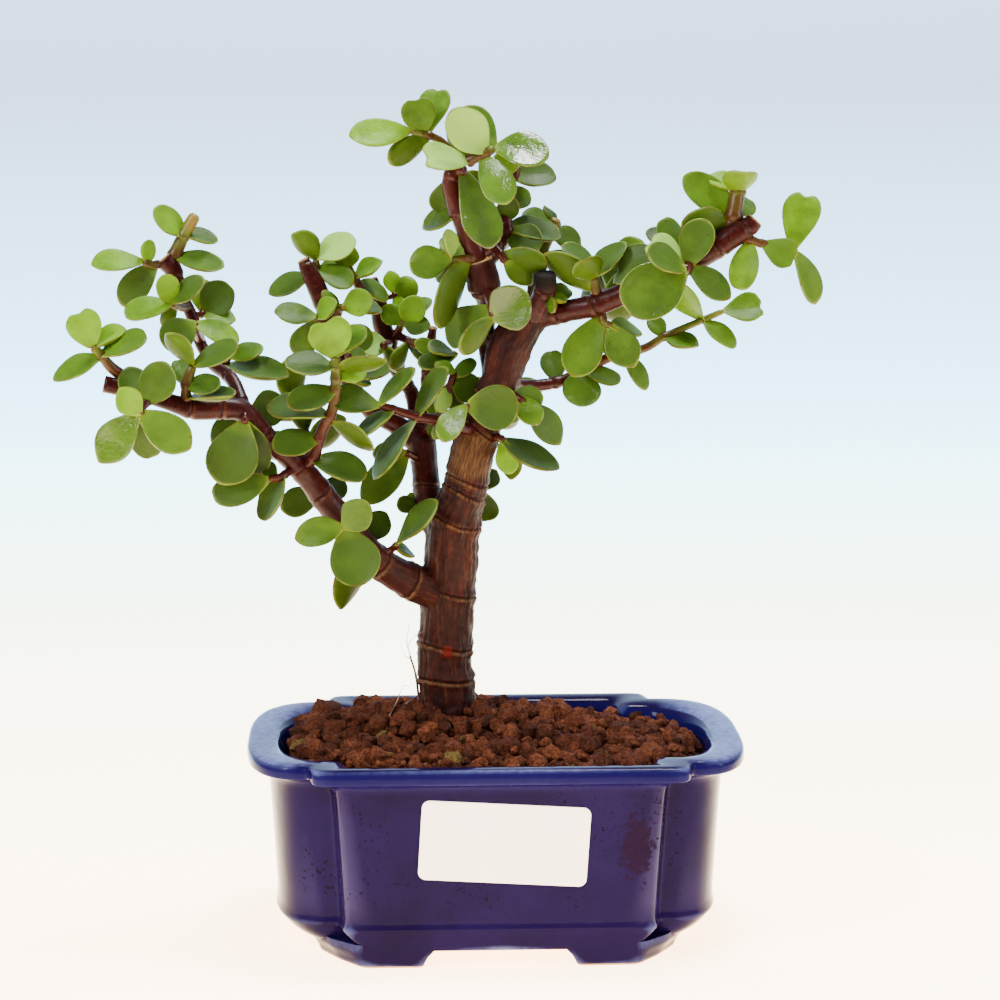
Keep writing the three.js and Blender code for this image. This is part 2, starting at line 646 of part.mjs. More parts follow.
shoot('shoot_kink', [[-75, -20, 163], [-75, -23, 161]], 2.7, 2.1, [
  [0.75, -7, -4, -18, 15.5, F],
  [0.65, 5, 4, -17, 10.5, F],
]);
shoot('shoot_kink_back', [[-74, -15, 161], [-74, -12, 162], [-73, -7, 163]], 2.7, 2.1, [
  [0.84, 10, 2, 2, 11, F],
  [0.84, -13, 4, -9, 8, F],
]);
shoot('shoot_low_left_round', [[-45, -10, 129], [-44, -14, 128], [-46, -20, 129]], 2.7, 2.4, [
  [1.00, 8, -6, 8, 10, F],
  [1.00, -14, -1, -3, 9.5, F],
  [0.94, 5, -5, -17, 15, F],
]);
shoot('shoot_low_left_back', [[-41, -2, 123], [-40, 3, 121]], 2.4, 2.1, [
  [0.90, 7, 3, 8, 8.5, F],
  [1.00, -8, 6, -21, 7.5, B],
]);
shoot('shoot_left_joint', [[-34, -4, 118], [-31, -5, 120], [-30, -9, 122]], 2.4, 2.1, [
  [1.00, 13, -2, 13, 5.5, L],
  [0.59, 6, 8, -3, 3.5, S],
]);
shoot('shoot_second_trunk_left', [[-23, 13, 145], [-26, 9, 147], [-27, 7, 148]], 2.8, 2.2, [
  [0.80, -13, 0, -15, 11, F],
  [1.00, -10, 4, -1, 7, F],
]);
shoot('shoot_second_trunk_low', [[-21, 12, 130], [-23, 12, 130]], 2.8, 2.2, [
  [0.90, -7, -2, 2, 5.5, F],
  [0.75, -2, 5, 7, 6, F],
]);
shoot('shoot_between_trunks', [[-21, 16, 153], [-16, 6, 160], [-14, 3, 167], [-12, 2, 173]], 3.1, 2.1, [
  [0.90, 1, 5, -9, 9, F],
  [0.80, -3, -5, -6, 5, R],
  [0.40, 1, 2, 10, 3.5, R],
  [0.30, -1, 2, 9, 5.5, F],
  [0.40, -2, 4, -8, 5, F],
  [0.95, 7, 3, 5, 5, F],
  [1.00, -6, -2, 3, 4, FU],
  [0.90, 9, 2, -4, 9, F],
]);
shoot('shoot_mid_right_high', [[-30, 27, 181], [-28, 25, 185], [-27, 24, 187]], 3.1, 2.2, [
  [0.90, -6, 3, 4, 7, F],
  [1.00, 5, -3, 7, 9, S],
  [0.95, 8, -3, -2, 6.5, U],
  [0.95, 8, 6, 7, 6.5, U],
]);
shoot('shoot_mid_right_low', [[-29, 27, 182], [-26, 22, 181], [-25, 16, 181], [-22, 11, 180],
  [-16, 8, 179], [-11, 7, 178]], 2.8, 1.8, [
  [0.20, 9, -5, -3, 6, U],
  [0.30, -6, -4, -8, 4.5, B],
  [0.80, -7, -2, 3, 5, F],
  [0.97, -8, -4, 3, 4.5, U],
  [1.00, -12, -5, -1, 5.5, FU],
]);
shoot('shoot_mid_side_top', [[-34, 28, 194], [-31, 28, 194], [-29, 28, 195]], 2.2, 1.6, [
  [0.91, -2, 2, 7, 5.5, F],
  [0.83, 7, 0, 4, 7.5, S],
  [0.87, 3, -4, -6, 5, F],
]);
shoot('shoot_mid_pale', [[-32, 27, 180], [-32, 20, 180], [-34, 15, 180]], 2.5, 2.2, [
  [0.57, -10, -5, 0, 8, FU],
  [0.80, 5, 2, -9, 5, B],
]);
shoot('shoot_mid_left_top', [[-55, 11, 202], [-55, 14, 202], [-54, 13, 204], [-54, 13, 207]], 3.4, 2.2, [
  [1.00, -6, -3, 9, 7.5, S],
  [1.00, 12, 2, 7, 8.5, FU],
  [0.68, 9, -6, -7, 8, FU],
  [0.36, -14, 0, -5, 6.5, F],
]);
shoot('shoot_mid_left_second', [[-37, 27, 198], [-40, 21, 197], [-42, 20, 200],
  [-44, 19, 204]], 3.8, 2.2, [
  [1.00, -1, -2, 7, 8, F],
  [0.72, 8, 0, 6, 5, S],
  [0.97, -9, 2, 1, 4.5, U],
  [0.59, 9, 5, -5, 6, U],
]);
shoot('shoot_mid_left_middle', [[-48, 10, 189], [-47, 7, 192], [-45, 5, 193]], 3.4, 2.2, [
  [0.85, 9, -3, 3, 8.5, F],
  [0.85, 12, 4, 0, 6, U],
  [0.40, -7, 2, 4, 4.5, S],
]);
shoot('shoot_mid_left_front', [[-51, 11, 188], [-53, 7, 189], [-54, 5, 190]], 3.1, 2.2, [
  [1.00, -12, -3, 2, 7, FU],
  [0.90, 6, -5, 5, 6, S],
  [0.65, -8, 4, -11, 8.5, F],
]);
shoot('shoot_mid_left_low', [[-43, 11, 170], [-44, 6, 175], [-44, 4, 179]], 3.1, 2.5, [
  [1.00, 5.5, 4, 7.5, 9, F],
  [0.95, 5, -3, -1, 5.5, U],
  [0.15, 11, -6, 3, 5, U],
  [0.06, 11, -4, -3, 5, FU],
]);
shoot('shoot_left_top_cut', [[-97, 6, 208], [-95, 6, 212], [-93, 6, 216], [-90, 6, 221]], 4.3, 3.7, [
  [0.50, -9, -3, 8, 7.5, S],
  [0.50, 10, 3, -1, 5, U],
  [0.05, 15, -5, -4, 7, FU],
]);
shoot('shoot_left_top_side', [[-101, 5, 206], [-103, 3, 206], [-106, 2, 207]], 2.8, 2.1, [
  [0.95, -15, -3, 0, 7, FU],
  [0.77, 1, 1, 7, 4.5, R],
  [0.23, -11, 0, -12, 10, F],
]);
shoot('shoot_left_mid_front', [[-93, 5, 193], [-94, 2, 193], [-96, -3, 194], [-97, -6, 195]], 2.8, 2.1, [
  [1.00, -2, -3, 9, 7.5, FU],
  [1.00, -14, -4, -3, 7.5, FU],
  [1.00, 10, -4, 8, 6, S],
  [0.74, -4, 3, -6, 4.5, B],
]);
shoot('shoot_left_mid_back', [[-92, 6, 191], [-91, 10, 190], [-89, 13, 190], [-89, 14, 191]], 2.8, 2.2, [
  [0.97, 9, 2, 8, 11, F],
  [0.84, 10, 0, -1, 5.5, U],
  [1.00, 0, 3, 10, 8.5, F],
]);
shoot('shoot_left_round', [[-89, 4, 183], [-90, -3, 187], [-90, -6, 189]], 3.1, 2.1, [
  [1.00, -10, -3, -6, 11, F],
  [0.96, 13, 0, -5, 7.5, FU],
]);
shoot('shoot_left_low_pale', [[-85, 1, 176], [-82, 6, 175], [-81, 4, 177], [-80, 3, 178]], 2.8, 2.1, [
  [1.00, 10, 1, 3, 6, U],
  [0.64, 19, -8, -3, 6.5, FU],
]);
shoot('shoot_left_upright', [[-92, -22, 167], [-92, -23, 172], [-90, -23, 178]], 3.3, 3.0, [
  [1.00, -7, -2, 10, 6, S],
  [1.00, 14, -3, 7, 7, FU],
  [0.50, 10, -5, 0, 7, FU],
  [0.14, 17, -10, 3, 6, BU],
  [0.45, -3, 6, 8, 6, F],
]);
shoot('shoot_left_end', [[-110, -24, 172], [-110, -22, 174], [-114, -24, 178],
  [-117, -25, 182], [-119, -25, 184]], 4.2, 2.7, [
  [1.00, -4, -3, 11, 11, F],
  [0.96, 8, 4, 7, 5.5, U],
  [0.79, 13, -4, 7, 7, S],
  [0.75, -15, -2, -5, 6.5, F],
]);
shoot('shoot_left_end_low', [[-102, -24, 169], [-102, -29, 169], [-104, -32, 167],
  [-105, -34, 165]], 2.7, 2.1, [
  [0.62, 6, -1, 12, 11, F],
  [0.91, -4, 8, 13, 9, F],
  [1.00, -5, -4, 8, 8, F],
  [0.94, 14, -2, -10, 12, F],
  [0.94, -12, 1, -14, 11, F],
  [0.97, 3, 6, -14, 9.5, F],
  [0.94, 5, 8, -12, 6, F],
]);

// Leaves in crossed pairs, as the plant grows them: each pair stands a quarter turn round the
// stem from the one before.
function crossedPairs(course, { pairs, first, length, spread, seed }) {
  const random = seededNumbers(seed);
  const line = course.map(vector);
  const leaves = [];
  for (let pair = 0; pair < pairs; pair++) {
    const share = first + (1 - first) * pair / (pairs - 1);
    const { along } = placeOn(line, share);
    const across = new THREE.Vector3(0, 0, 1).cross(along).normalize();
    across.applyAxisAngle(along, (pair % 2) * Math.PI / 2 + random(-0.35, 0.35));
    for (const sign of [1, -1]) {
      const size = length * random(0.8, 1.15);
      const open = THREE.MathUtils.degToRad(spread * random(0.85, 1.1));
      const reach = along.clone().multiplyScalar(Math.cos(open))
        .addScaledVector(across, sign * Math.sin(open));
      const width = size * random(0.66, 0.8);
      leaves.push([share, ...reach.multiplyScalar(size).toArray(), width, S, true]);
    }
  }
  return leaves;
}

function backShoot(name, course, foot, tip, growth) {
  shoot(name, course, foot, tip, crossedPairs(course, growth));
}

backShoot('shoot_back_apex', [[-3, 1, 199], [-4, 8, 204], [-5, 15, 213], [-4, 20, 223]], 4, 2,
  { pairs: 4, first: 0.4, length: 14, spread: 65, seed: 11 });
backShoot('shoot_back_right', [[30, -5, 195], [33, 3, 196], [37, 12, 198], [41, 20, 200]], 4, 2,
  { pairs: 4, first: 0.4, length: 14, spread: 65, seed: 23 });
backShoot('shoot_back_left', [[-57, -11, 144], [-56, -3, 149], [-58, 7, 155], [-62, 15, 162]], 4, 2,
  { pairs: 4, first: 0.4, length: 14, spread: 65, seed: 37 });
backShoot('shoot_back_middle', [[-6, 1, 150], [-2, 10, 154], [2, 19, 160], [4, 27, 168]], 4, 2,
  { pairs: 4, first: 0.4, length: 14, spread: 65, seed: 51 });

// ---------- placing the leaves ----------

// What is already in place: each solid, the same grown by the gap, and its box.
const placed = [];

function place(solid, grown) {
  placed.push({ solid, grown, box: solid.boundingBox() });
}

// How much of a leaf lies in its neighbours, past the little that leaves share at their roots.
function crowding(solid, own) {
  const box = solid.boundingBox();
  const share = (others, allowed) => others
    .filter((other) => boxesMeet(box, other.box, 0))
    .reduce((sum, other) => sum + Math.max(0, solid.intersect(other.solid).volume() - allowed), 0);
  return share(placed, 0.5) + share(own, 4);
}

// A measured width is the one that shows from the front. The leaf is that wide and faces the
// front, or it is wider and turned about its midrib, so that all leaves keep the same proportions.
const TO_FRONT = new THREE.Vector3(0, -1, 0.15).normalize();

function turnedLeaf(reach, face, seen) {
  const along = reach.clone().normalize();
  const front = TO_FRONT.clone().projectOnPlane(along).normalize();
  const beside = new THREE.Vector3().crossVectors(along, front);
  const flat = face.clone().projectOnPlane(along).normalize();
  const open = Math.max(0.1, Math.abs(flat.dot(front)));
  const [slim, broad] = [SLIMMEST_LEAF * reach.length(), BROADEST_LEAF * reach.length()];
  const width = Math.max(seen, THREE.MathUtils.clamp(seen / open, slim, broad));
  const shown = THREE.MathUtils.clamp(seen / width, 0.15, 1);
  const turned = front.multiplyScalar(Math.sign(flat.dot(front)) * shown)
    .addScaledVector(beside, Math.sign(flat.dot(beside)) * Math.sqrt(1 - shown * shown));
  return { width, face: turned };
}

function leafOf([share, x, y, z, width, face, grown], course, random) {
  const { point, along } = placeOn(course, share);
  const reach = new THREE.Vector3(x, y, z);
  const toward = face ? vector(face) : along;
  return {
    root: point,
    reach,
    ...(grown ? { width, face: toward } : turnedLeaf(reach, toward, width)),
    bow: random(0.03, 0.13),
    fold: random(0, 0.22),
  };
}

const POSES = SHRINKS.flatMap((shrink) => SWINGS.map((swing) => ({ swing, shrink })));

// The first pose in which the leaf is clear of its neighbours, or else the least crowded one.
function settledFrame(leaf, own) {
  let best = null;
  for (const { swing, shrink } of POSES) {
    const frame = leafFrame(leaf, swing, shrink);
    const cost = crowding(leafSolid(leaf, frame, GAP), own);
    if (best === null || cost < best.cost) best = { frame, cost };
    if (cost < 0.5) break;
  }
  return best.frame;
}

function makeShoot({ course, foot, tip, leaves }, index) {
  const random = seededNumbers(100 + index);
  const last = course.length - 1;
  const route = course.map((p, i) => [...p.toArray(), THREE.MathUtils.lerp(foot, tip, i / last)]);
  const sides = foot > 3.5 ? 5 : 4;
  const own = [{ solid: limb(route, sides, 1), grown: limb(route, sides, 1, GAP) }];
  own[0].box = own[0].solid.boundingBox();
  for (const row of leaves) {
    const leaf = leafOf(row, course, random);
    const frame = settledFrame(leaf, own.slice(1));
    const solid = leafSolid(leaf, frame);
    own.push({ solid, grown: leafSolid(leaf, frame, GAP), box: solid.boundingBox() });
  }
  let body = united(own.map((part) => part.solid));
  const box = body.boundingBox();
  for (const other of placed) {
    if (boxesMeet(box, other.box, GAP)) body = body.subtract(other.grown);
  }
  for (const part of own) place(part.solid, part.grown);
  return largestPiece(body);
}

// ---------- the finished group ----------

const bonsai = new THREE.Group();

function add(name, solid, color, roughness) {
  const mesh = new THREE.Mesh(
    geometryOf(solid),
    new THREE.MeshStandardMaterial({ color, roughness, metalness: 0 }),
  );
  mesh.name = name;
  bonsai.add(mesh);
}

const wood = woodSolid(0);
const grownWood = woodSolid(GAP);
place(wood, grownWood);

add('pot', makePot(), 0x2e2c68, 0.12);
let soil = makeSoil().subtract(grownWood);
for (const [side, x] of [['left', -DRAIN_OFFSET], ['right', DRAIN_OFFSET]]) {
  add(`drain_mesh_${side}`, makeDrainMesh(x), 0x22262a, 0.6);
  soil = soil.subtract(block(MESH_SIDE + 2 * GAP, 2 * (MESH_THICKNESS + 2 * GAP), x, 0, FLOOR_TOP));
}
add('soil', largestPiece(soil), 0x6b3a22, 0.95);
add('label', makeLabel(), 0xf6eae6, 0.7);
add('trunk_and_branches', wood, 0x5a3220, 0.7);
shoots.forEach((one, index) => add(one.name, makeShoot(one, index), 0x6f9a2f, 0.35));

const box = new THREE.Box3().setFromObject(bonsai);
const centre = box.getCenter(new THREE.Vector3());
bonsai.position.set(-centre.x, -centre.y, -box.min.z);

export default bonsai;
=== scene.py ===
# Dwarf jade bonsai in a glazed pot: the looks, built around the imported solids.
import math
import random

import bpy
import numpy as np
from mathutils import Matrix, Vector, noise


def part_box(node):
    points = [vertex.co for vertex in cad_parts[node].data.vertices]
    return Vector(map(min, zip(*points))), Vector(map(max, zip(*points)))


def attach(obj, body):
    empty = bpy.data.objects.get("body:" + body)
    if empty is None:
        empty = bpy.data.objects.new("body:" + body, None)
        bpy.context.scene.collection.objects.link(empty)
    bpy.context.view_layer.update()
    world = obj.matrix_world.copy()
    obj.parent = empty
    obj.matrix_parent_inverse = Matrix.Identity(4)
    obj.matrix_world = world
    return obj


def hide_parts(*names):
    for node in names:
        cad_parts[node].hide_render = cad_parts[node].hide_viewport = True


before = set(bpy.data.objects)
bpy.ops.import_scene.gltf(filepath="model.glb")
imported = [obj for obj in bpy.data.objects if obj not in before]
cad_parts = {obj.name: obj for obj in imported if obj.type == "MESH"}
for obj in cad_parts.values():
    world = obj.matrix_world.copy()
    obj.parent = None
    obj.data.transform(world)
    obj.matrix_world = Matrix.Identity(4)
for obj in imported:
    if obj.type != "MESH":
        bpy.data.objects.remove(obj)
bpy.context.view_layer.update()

bpy.ops.object.select_all(action="DESELECT")

# The pot's middle, on the floor, is where every size below is measured from, in millimetres.
pot_low, pot_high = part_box("pot")
MIDDLE = Vector(((pot_low.x + pot_high.x) / 2, (pot_low.y + pot_high.y) / 2, 0))


def metres(x, y, z):
    """A point given in millimetres from the pot's middle, in the frame of the solids."""
    return MIDDLE + Vector((x, y, z)) / 1000


# ---------- camera, floor and lights ----------
# A tabletop seen from a little above the rim, 0.9 m away, through a long lens. The floor
# sweeps up into a pale backdrop; a window stands at the front left and a soft lamp hangs above.

CAMERA_AT = (-39, -899, 270)
CAMERA_HEADING = math.radians(-2.6)
CAMERA_PITCH = math.radians(8.6)

camera_data = bpy.data.cameras.new("camera")
camera_data.sensor_width = 36
camera_data.lens = 107
camera_data.clip_start = 0.01
camera = bpy.data.objects.new("camera", camera_data)
camera.location = metres(*CAMERA_AT)
camera.rotation_euler = (math.pi / 2 - CAMERA_PITCH, 0, CAMERA_HEADING)
bpy.context.scene.collection.objects.link(camera)
bpy.context.scene.camera = camera


def linear(code, alpha=1.0):
    """An sRGB hex colour as the linear values that sockets take."""
    parts = [int(code[i:i + 2], 16) / 255 for i in (1, 3, 5)]
    return [c / 12.92 if c <= 0.04045 else ((c + 0.055) / 1.055) ** 2.4 for c in parts] + [alpha]


def material(name):
    """A new material, its node tree, and the Principled shader that feeds its output."""
    made = bpy.data.materials.new(name)
    made.use_nodes = True
    made.node_tree.nodes.clear()
    output = made.node_tree.nodes.new("ShaderNodeOutputMaterial")
    shader = made.node_tree.nodes.new("ShaderNodeBsdfPrincipled")
    made.node_tree.links.new(shader.outputs["BSDF"], output.inputs["Surface"])
    return made, made.node_tree, shader


def feed(node, inputs):
    """Gives a node's sockets, by name or number, their values or other nodes' outputs."""
    for key, value in inputs.items():
        if isinstance(value, bpy.types.NodeSocket):
            node.id_data.links.new(value, node.inputs[key])
        else:
            node.inputs[key].default_value = value


def add(tree, kind, inputs=(), out=0, stops=(), **settings):
    """Adds a node and gives one of its outputs. inputs holds values or other nodes' outputs, in the
    order of the sockets or under their names or numbers; stops are a ramp's places and colours."""
    made = tree.nodes.new("ShaderNode" + kind)
    for key, value in settings.items():
        setattr(made, key, value)
    feed(made, inputs if isinstance(inputs, dict) else dict(enumerate(inputs)))
    for number, (place, code) in enumerate(stops):
        spots = made.color_ramp.elements
        stop = spots[number] if number < 2 else spots.new(place)
        stop.position, stop.color = place, linear(code)
    return made.outputs[out]


def coat(piece, finish):
    """Gives a piece its one material."""
    piece.data.materials.clear()
    piece.data.materials.append(finish)


# The table: one strip that ends half a metre in front of the pot and rolls up well behind it, so
# that there is room to look at the back too.
bpy.ops.mesh.primitive_grid_add(x_subdivisions=2, y_subdivisions=120, size=1)
sweep = bpy.context.object
sweep.name = "studio_sweep"
# in metres: where the floor ends, the roll's radius, how far in front the strip begins, its size
FLAT, ROLL, FRONT, LENGTH, WIDTH = 1.25, 0.4, 0.5, 4.6, 5
for vertex in sweep.data.vertices:
    run = (vertex.co.y + 0.5) * LENGTH - FRONT
    bend = min(max(run - FLAT, 0) / ROLL, math.pi / 2)
    rest = max(run - FLAT - ROLL * math.pi / 2, 0)
    vertex.co = (vertex.co.x * WIDTH, min(run, FLAT) + ROLL * math.sin(bend),
                 ROLL * (1 - math.cos(bend)) + rest)
bpy.ops.object.shade_smooth()
backdrop, tree, shader = material("painted_sweep_matt")
along = add(tree, "SeparateXYZ", (add(tree, "TexCoord", out="UV"),), "Y")

# from the front edge (0) over the floor (to 0.38) and up the roll (to 0.52)
paint = add(tree, "ValToRGB", (along,), stops=[(0.16, "#F6F0EA"), (0.23, "#EEF3F6"), (0.32, "#CBE7F7"),
                                               (0.4, "#B8DFF8"), (0.486, "#A2C0E6")])
glow = add(tree, "ValToRGB", (along,), stops=[(0.12, "#FFD6A0"), (0.23, "#C6D6BA"), (0.32, "#A8DEE8"),
                                              (0.4, "#84C8DF"), (0.48, "#635D62")])
feed(shader, {"Base Color": paint, "Emission Color": glow, "Emission Strength": 8.0, "Roughness": 0.9,
              "Specular IOR Level": 0.1})
coat(sweep, backdrop)

# The room: bright behind and above, grey behind the camera.
world = bpy.data.worlds.new("room")
bpy.context.scene.world = world
world.use_nodes = True
tree = world.node_tree
way = add(tree, "SeparateXYZ", (add(tree, "TexCoord", out="Generated"),), "Y")
back = add(tree, "MapRange", (way, -0.7, 0.5))
shade = add(tree, "ValToRGB", (back,), stops=[(0, "#666C74"), (1, "#DCE6F2")])
background = tree.nodes["Background"]
feed(background, {"Color": shade, "Strength": 0.8})

LAMPS = [
    # name, place in mm, aim in mm, width and height in mm, watts, colour
    ("window", (-620, -560, 720), (0, 0, 150), 220, 420, 20.0, "#FFFFFF"),
    ("overhead", (120, 60, 900), (0, 0, 100), 300, 160, 18.0, "#FFFFFF"),
    ("right_fill", (760, -300, 420), (0, 0, 150), 160, 420, 7.0, "#F4F6FF"),
    ("front_fill", (-120, -980, 430), (0, 0, 130), 800, 500, 6.5, "#FFFFFF"),
]
for name, spot, aim, width, tall, watts, colour in LAMPS:
    lamp = bpy.data.lights.new(name, "AREA")
    lamp.shape = "RECTANGLE"
    lamp.size, lamp.size_y = width / 1000, tall / 1000
    lamp.energy = watts
    lamp.color = linear(colour)[:3]
    holder = bpy.data.objects.new(name, lamp)
    holder.location = metres(*spot)
    holder.rotation_euler = (metres(*aim) - metres(*spot)).to_track_quat("-Z", "Y").to_euler()
    # the fill is a matt white wall, too far off and too even to be seen in anything glossy
    holder.visible_glossy = name != "front_fill"
    bpy.context.scene.collection.objects.link(holder)

# ---------- pot ----------
# Slab-moulded stoneware with bowed ends and a notch at each corner, a rolled lip and four
# L-shaped feet, dipped in cobalt glaze. The glaze runs thin and pale on the edges, and the feet
# and the underside are wiped bare to the tan clay. The top of the lip also carries a painted
# highlight, and a painted sheen lies beside the upright edges.

BODY_PLAN = {"panel": 48.5, "depth": 48.5, "notch": 10, "reach": 69.5}
LIP_PLAN = {"panel": 55.5, "depth": 53, "notch": 9, "reach": 76}
SOLE_TOP = 11  # the height below which the wall turns in to its sole
DRAIN_AT, DRAIN_RADIUS = 34, 6.5  # the two holes, left and right of the middle


def run_along(points):
    """How far along a line of points each of them lies."""
    return np.concatenate([[0], np.cumsum(np.linalg.norm(np.diff(points, axis=0), axis=1))])


def spaced(points, count):
    """The same line with count points, evenly spaced along it."""
    points = np.array(points, float)
    run = run_along(points)
    wanted = np.linspace(0, run[-1], count)
    return np.stack([np.interp(wanted, run, points[:, i]) for i in range(points.shape[1])], 1)


def pot_quarter(panel, depth, notch, reach):
    """A quarter of the plan, from the panel's middle round the notch to the end of the pot."""
    inner = np.array([panel + 1.5, depth - notch])
    pull = np.array([[panel + 0.6 * (reach - panel), depth - notch + 2.5],
                     [reach + 1, depth - notch - 6], [reach, 0]])
    t = np.linspace(0, 1, 60)[:, None]
    lobe = ((1 - t) ** 3 * inner + 3 * (1 - t) ** 2 * t * pull[0]
            + 3 * (1 - t) * t ** 2 * pull[1] + t ** 3 * pull[2])
    return np.concatenate([
        spaced([[0, depth], [panel - 1.5, depth]], 34)[:-1],
        spaced([[panel - 1.5, depth], [panel, depth - 1.5]], 4)[:-1],
        spaced([[panel, depth - 1.5], inner], 7)[:-1],
        spaced(lobe, 46),
    ])


def softened(ring, rounds):
    """A closed ring with each point drawn towards its neighbours so many times."""
    for _ in range(rounds):
        ring = (np.roll(ring, 1, 0) + 2 * ring + np.roll(ring, -1, 0)) / 4
    return ring


def pot_plan(part, out, sole=0):
    """The plan at a share of the way from the body (0) to the lip (1), moved outwards by out.
    At the sole of the wall the panels draw in by only a fifth of what the lobes do."""
    size = {key: BODY_PLAN[key] + part * (LIP_PLAN[key] - BODY_PLAN[key]) for key in BODY_PLAN}
    size = {key: value + (0 if key == "notch" else out) for key, value in size.items()}
    size["depth"] -= 0.8 * sole * (out + 2.4)
    front = pot_quarter(**size)
    back = pot_quarter(**{**size, "panel": size["panel"] - 4})
    ring = np.concatenate([
        front * [1, -1], back[::-1][1:], (back * [-1, 1])[1:], (front * [-1, -1])[::-1][1:-1],
    ])
    return softened(ring, 3)


# The wall's section, from the underside up and over the lip to the inner floor: share of the way
# to the lip's plan, outwards, height.
POT_SECTION = [
    (0, -10.6, 5.0), (0, -9.4, 5.05), (0, -8.2, 5.5), (0, -6.4, 6.5), (0, -4.6, 8.0), (0, -3.3, 9.4),
    (0, -2.3, 10.6), (0, -1.85, 11.5), (0, -1.9, 12.2), (0, -2.15, 13.2), (0, -2.3, 15),
    (0, -2.1, 20), (0, -1.7, 27), (0, -1.2, 35), (0, -0.7, 43), (0, -0.2, 50), (0, 0.1, 53),
    (0.02, 0.5, 54.9), (0.12, 0.9, 56.1), (0.35, 0.9, 56.9), (0.65, 0.6, 57.25), (0.88, 0.2, 57.5),
    (0.97, 0.1, 57.9), (1, 0, 58.5), (1, 0, 59.4), (1, -0.05, 60.3), (1, -0.35, 61.1),
    (1, -0.95, 61.7), (0.92, -1.3, 61.95), (0.7, -1.5, 62.0), (0.45, -1.7, 61.95),
    (0.2, -1.8, 61.8), (0.03, -2.3, 61.4), (0, -3.1, 60.7), (0, -3.9, 59.6), (0, -4.5, 58.0),
    (0, -4.8, 55), (0, -5.6, 46), (0, -6.6, 34), (0, -7.5, 23), (0, -8.2, 16), (0, -9.2, 13.2),
    (0, -11, 11.6), (0, -14, 11.0),
]


def settle(piece):
    """Moves a piece that was built in millimetres round the pot's middle to its place."""
    piece.data.transform(Matrix.Translation(MIDDLE) @ Matrix.Scale(0.001, 4))
    return piece


def tube_grid(name, rings):
    """A grid primitive wrapped round a row of closed rings of points, with both ends filled."""
    count = len(rings[0])
    bpy.ops.mesh.primitive_grid_add(x_subdivisions=count, y_subdivisions=len(rings) - 1, size=1)
    piece = bpy.context.object
    piece.name = name
    rings = np.array(rings, float)
    wrapped = np.concatenate([rings, rings[:, :1]], axis=1)
    piece.data.vertices.foreach_set("co", wrapped.reshape(-1))
    bpy.ops.object.mode_set(mode="EDIT")
    bpy.ops.mesh.select_all(action="SELECT")
    bpy.ops.mesh.remove_doubles(threshold=1e-4)
    bpy.ops.mesh.select_all(action="DESELECT")
    bpy.ops.mesh.select_non_manifold()
    bpy.ops.mesh.edge_face_add()
    bpy.ops.mesh.select_all(action="SELECT")
    bpy.ops.mesh.normals_make_consistent(inside=False)
    bpy.ops.object.mode_set(mode="OBJECT")
    bpy.ops.object.shade_smooth()
    return piece


def apply_modifier(piece, kind, **settings):
    """Adds a modifier and applies it."""
    bpy.ops.object.select_all(action="DESELECT")
    bpy.context.view_layer.objects.active = piece
    piece.select_set(True)
    made = piece.modifiers.new(kind.lower(), kind)
    for key, value in settings.items():
        setattr(made, key, value)
    bpy.ops.object.modifier_apply(modifier=made.name)


def at_height(plan, high):
    """The plan's points at one height."""
    return np.column_stack([plan, np.full(len(plan), high)])


pot = tube_grid("glazed_pot", [at_height(pot_plan(part, out, high < SOLE_TOP), high)
                               for part, out, high in POT_SECTION])

# One foot's outline at the top, how far each corner draws in at the floor, and its other three
# places by mirroring. The bottom edge is rounded where it was sponged.
FOOT = [((56.5, 12), (2.2, -0.6)), ((56.5, 27), (2.4, 1.6)), ((50.5, 38), (2.4, 2.0)),
        ((43, 45.3), (1.8, 0.7)), ((19.3, 45.4), (-3.4, 0.5)), ((19.3, 37), (-3.4, -0.6)),
        ((41, 36), (0, 0)), ((47, 29), (0, 0)), ((47, 12), (0, -0.6))]
FOOT_SECTION = [(0, 1.15), (0.35, 1.0), (1.5, 0.86), (3, 0.6), (4.6, 0.15), (5.5, 0), (7.2, 0)]


def foot_outline(draw_in):
    """One foot's outline, with its corners drawn in by a share of their full measure."""
    corners = np.array([[x - draw_in * dx, y - draw_in * dy] for (x, y), (dx, dy) in FOOT])
    return softened(spaced(np.concatenate([corners, corners[:1]]), 97)[:-1], 2)


foot = tube_grid("foot", [at_height(foot_outline(draw_in), high) for high, draw_in in FOOT_SECTION])
apply_modifier(foot, "MIRROR", use_axis=(True, True, False))
bpy.ops.object.mode_set(mode="EDIT")
bpy.ops.mesh.select_all(action="SELECT")
bpy.ops.mesh.normals_make_consistent(inside=False)
bpy.ops.object.mode_set(mode="OBJECT")
apply_modifier(pot, "BOOLEAN", operation="UNION", object=foot, solver="EXACT")
bpy.data.objects.remove(foot)
for side in (-DRAIN_AT, DRAIN_AT):
    bpy.ops.mesh.primitive_cylinder_add(vertices=40, radius=DRAIN_RADIUS, depth=30, location=(side, 0, 8))
    drill = bpy.context.object
    apply_modifier(pot, "BOOLEAN", operation="DIFFERENCE", object=drill, solver="EXACT")
    bpy.data.objects.remove(drill)


def vertex_rows(piece, key):
    """The vertices' places (co) or normals, a row for each."""
    rows = np.empty(len(piece.data.vertices) * 3)
    piece.data.vertices.foreach_get(key, rows)
    return rows.reshape(-1, 3)


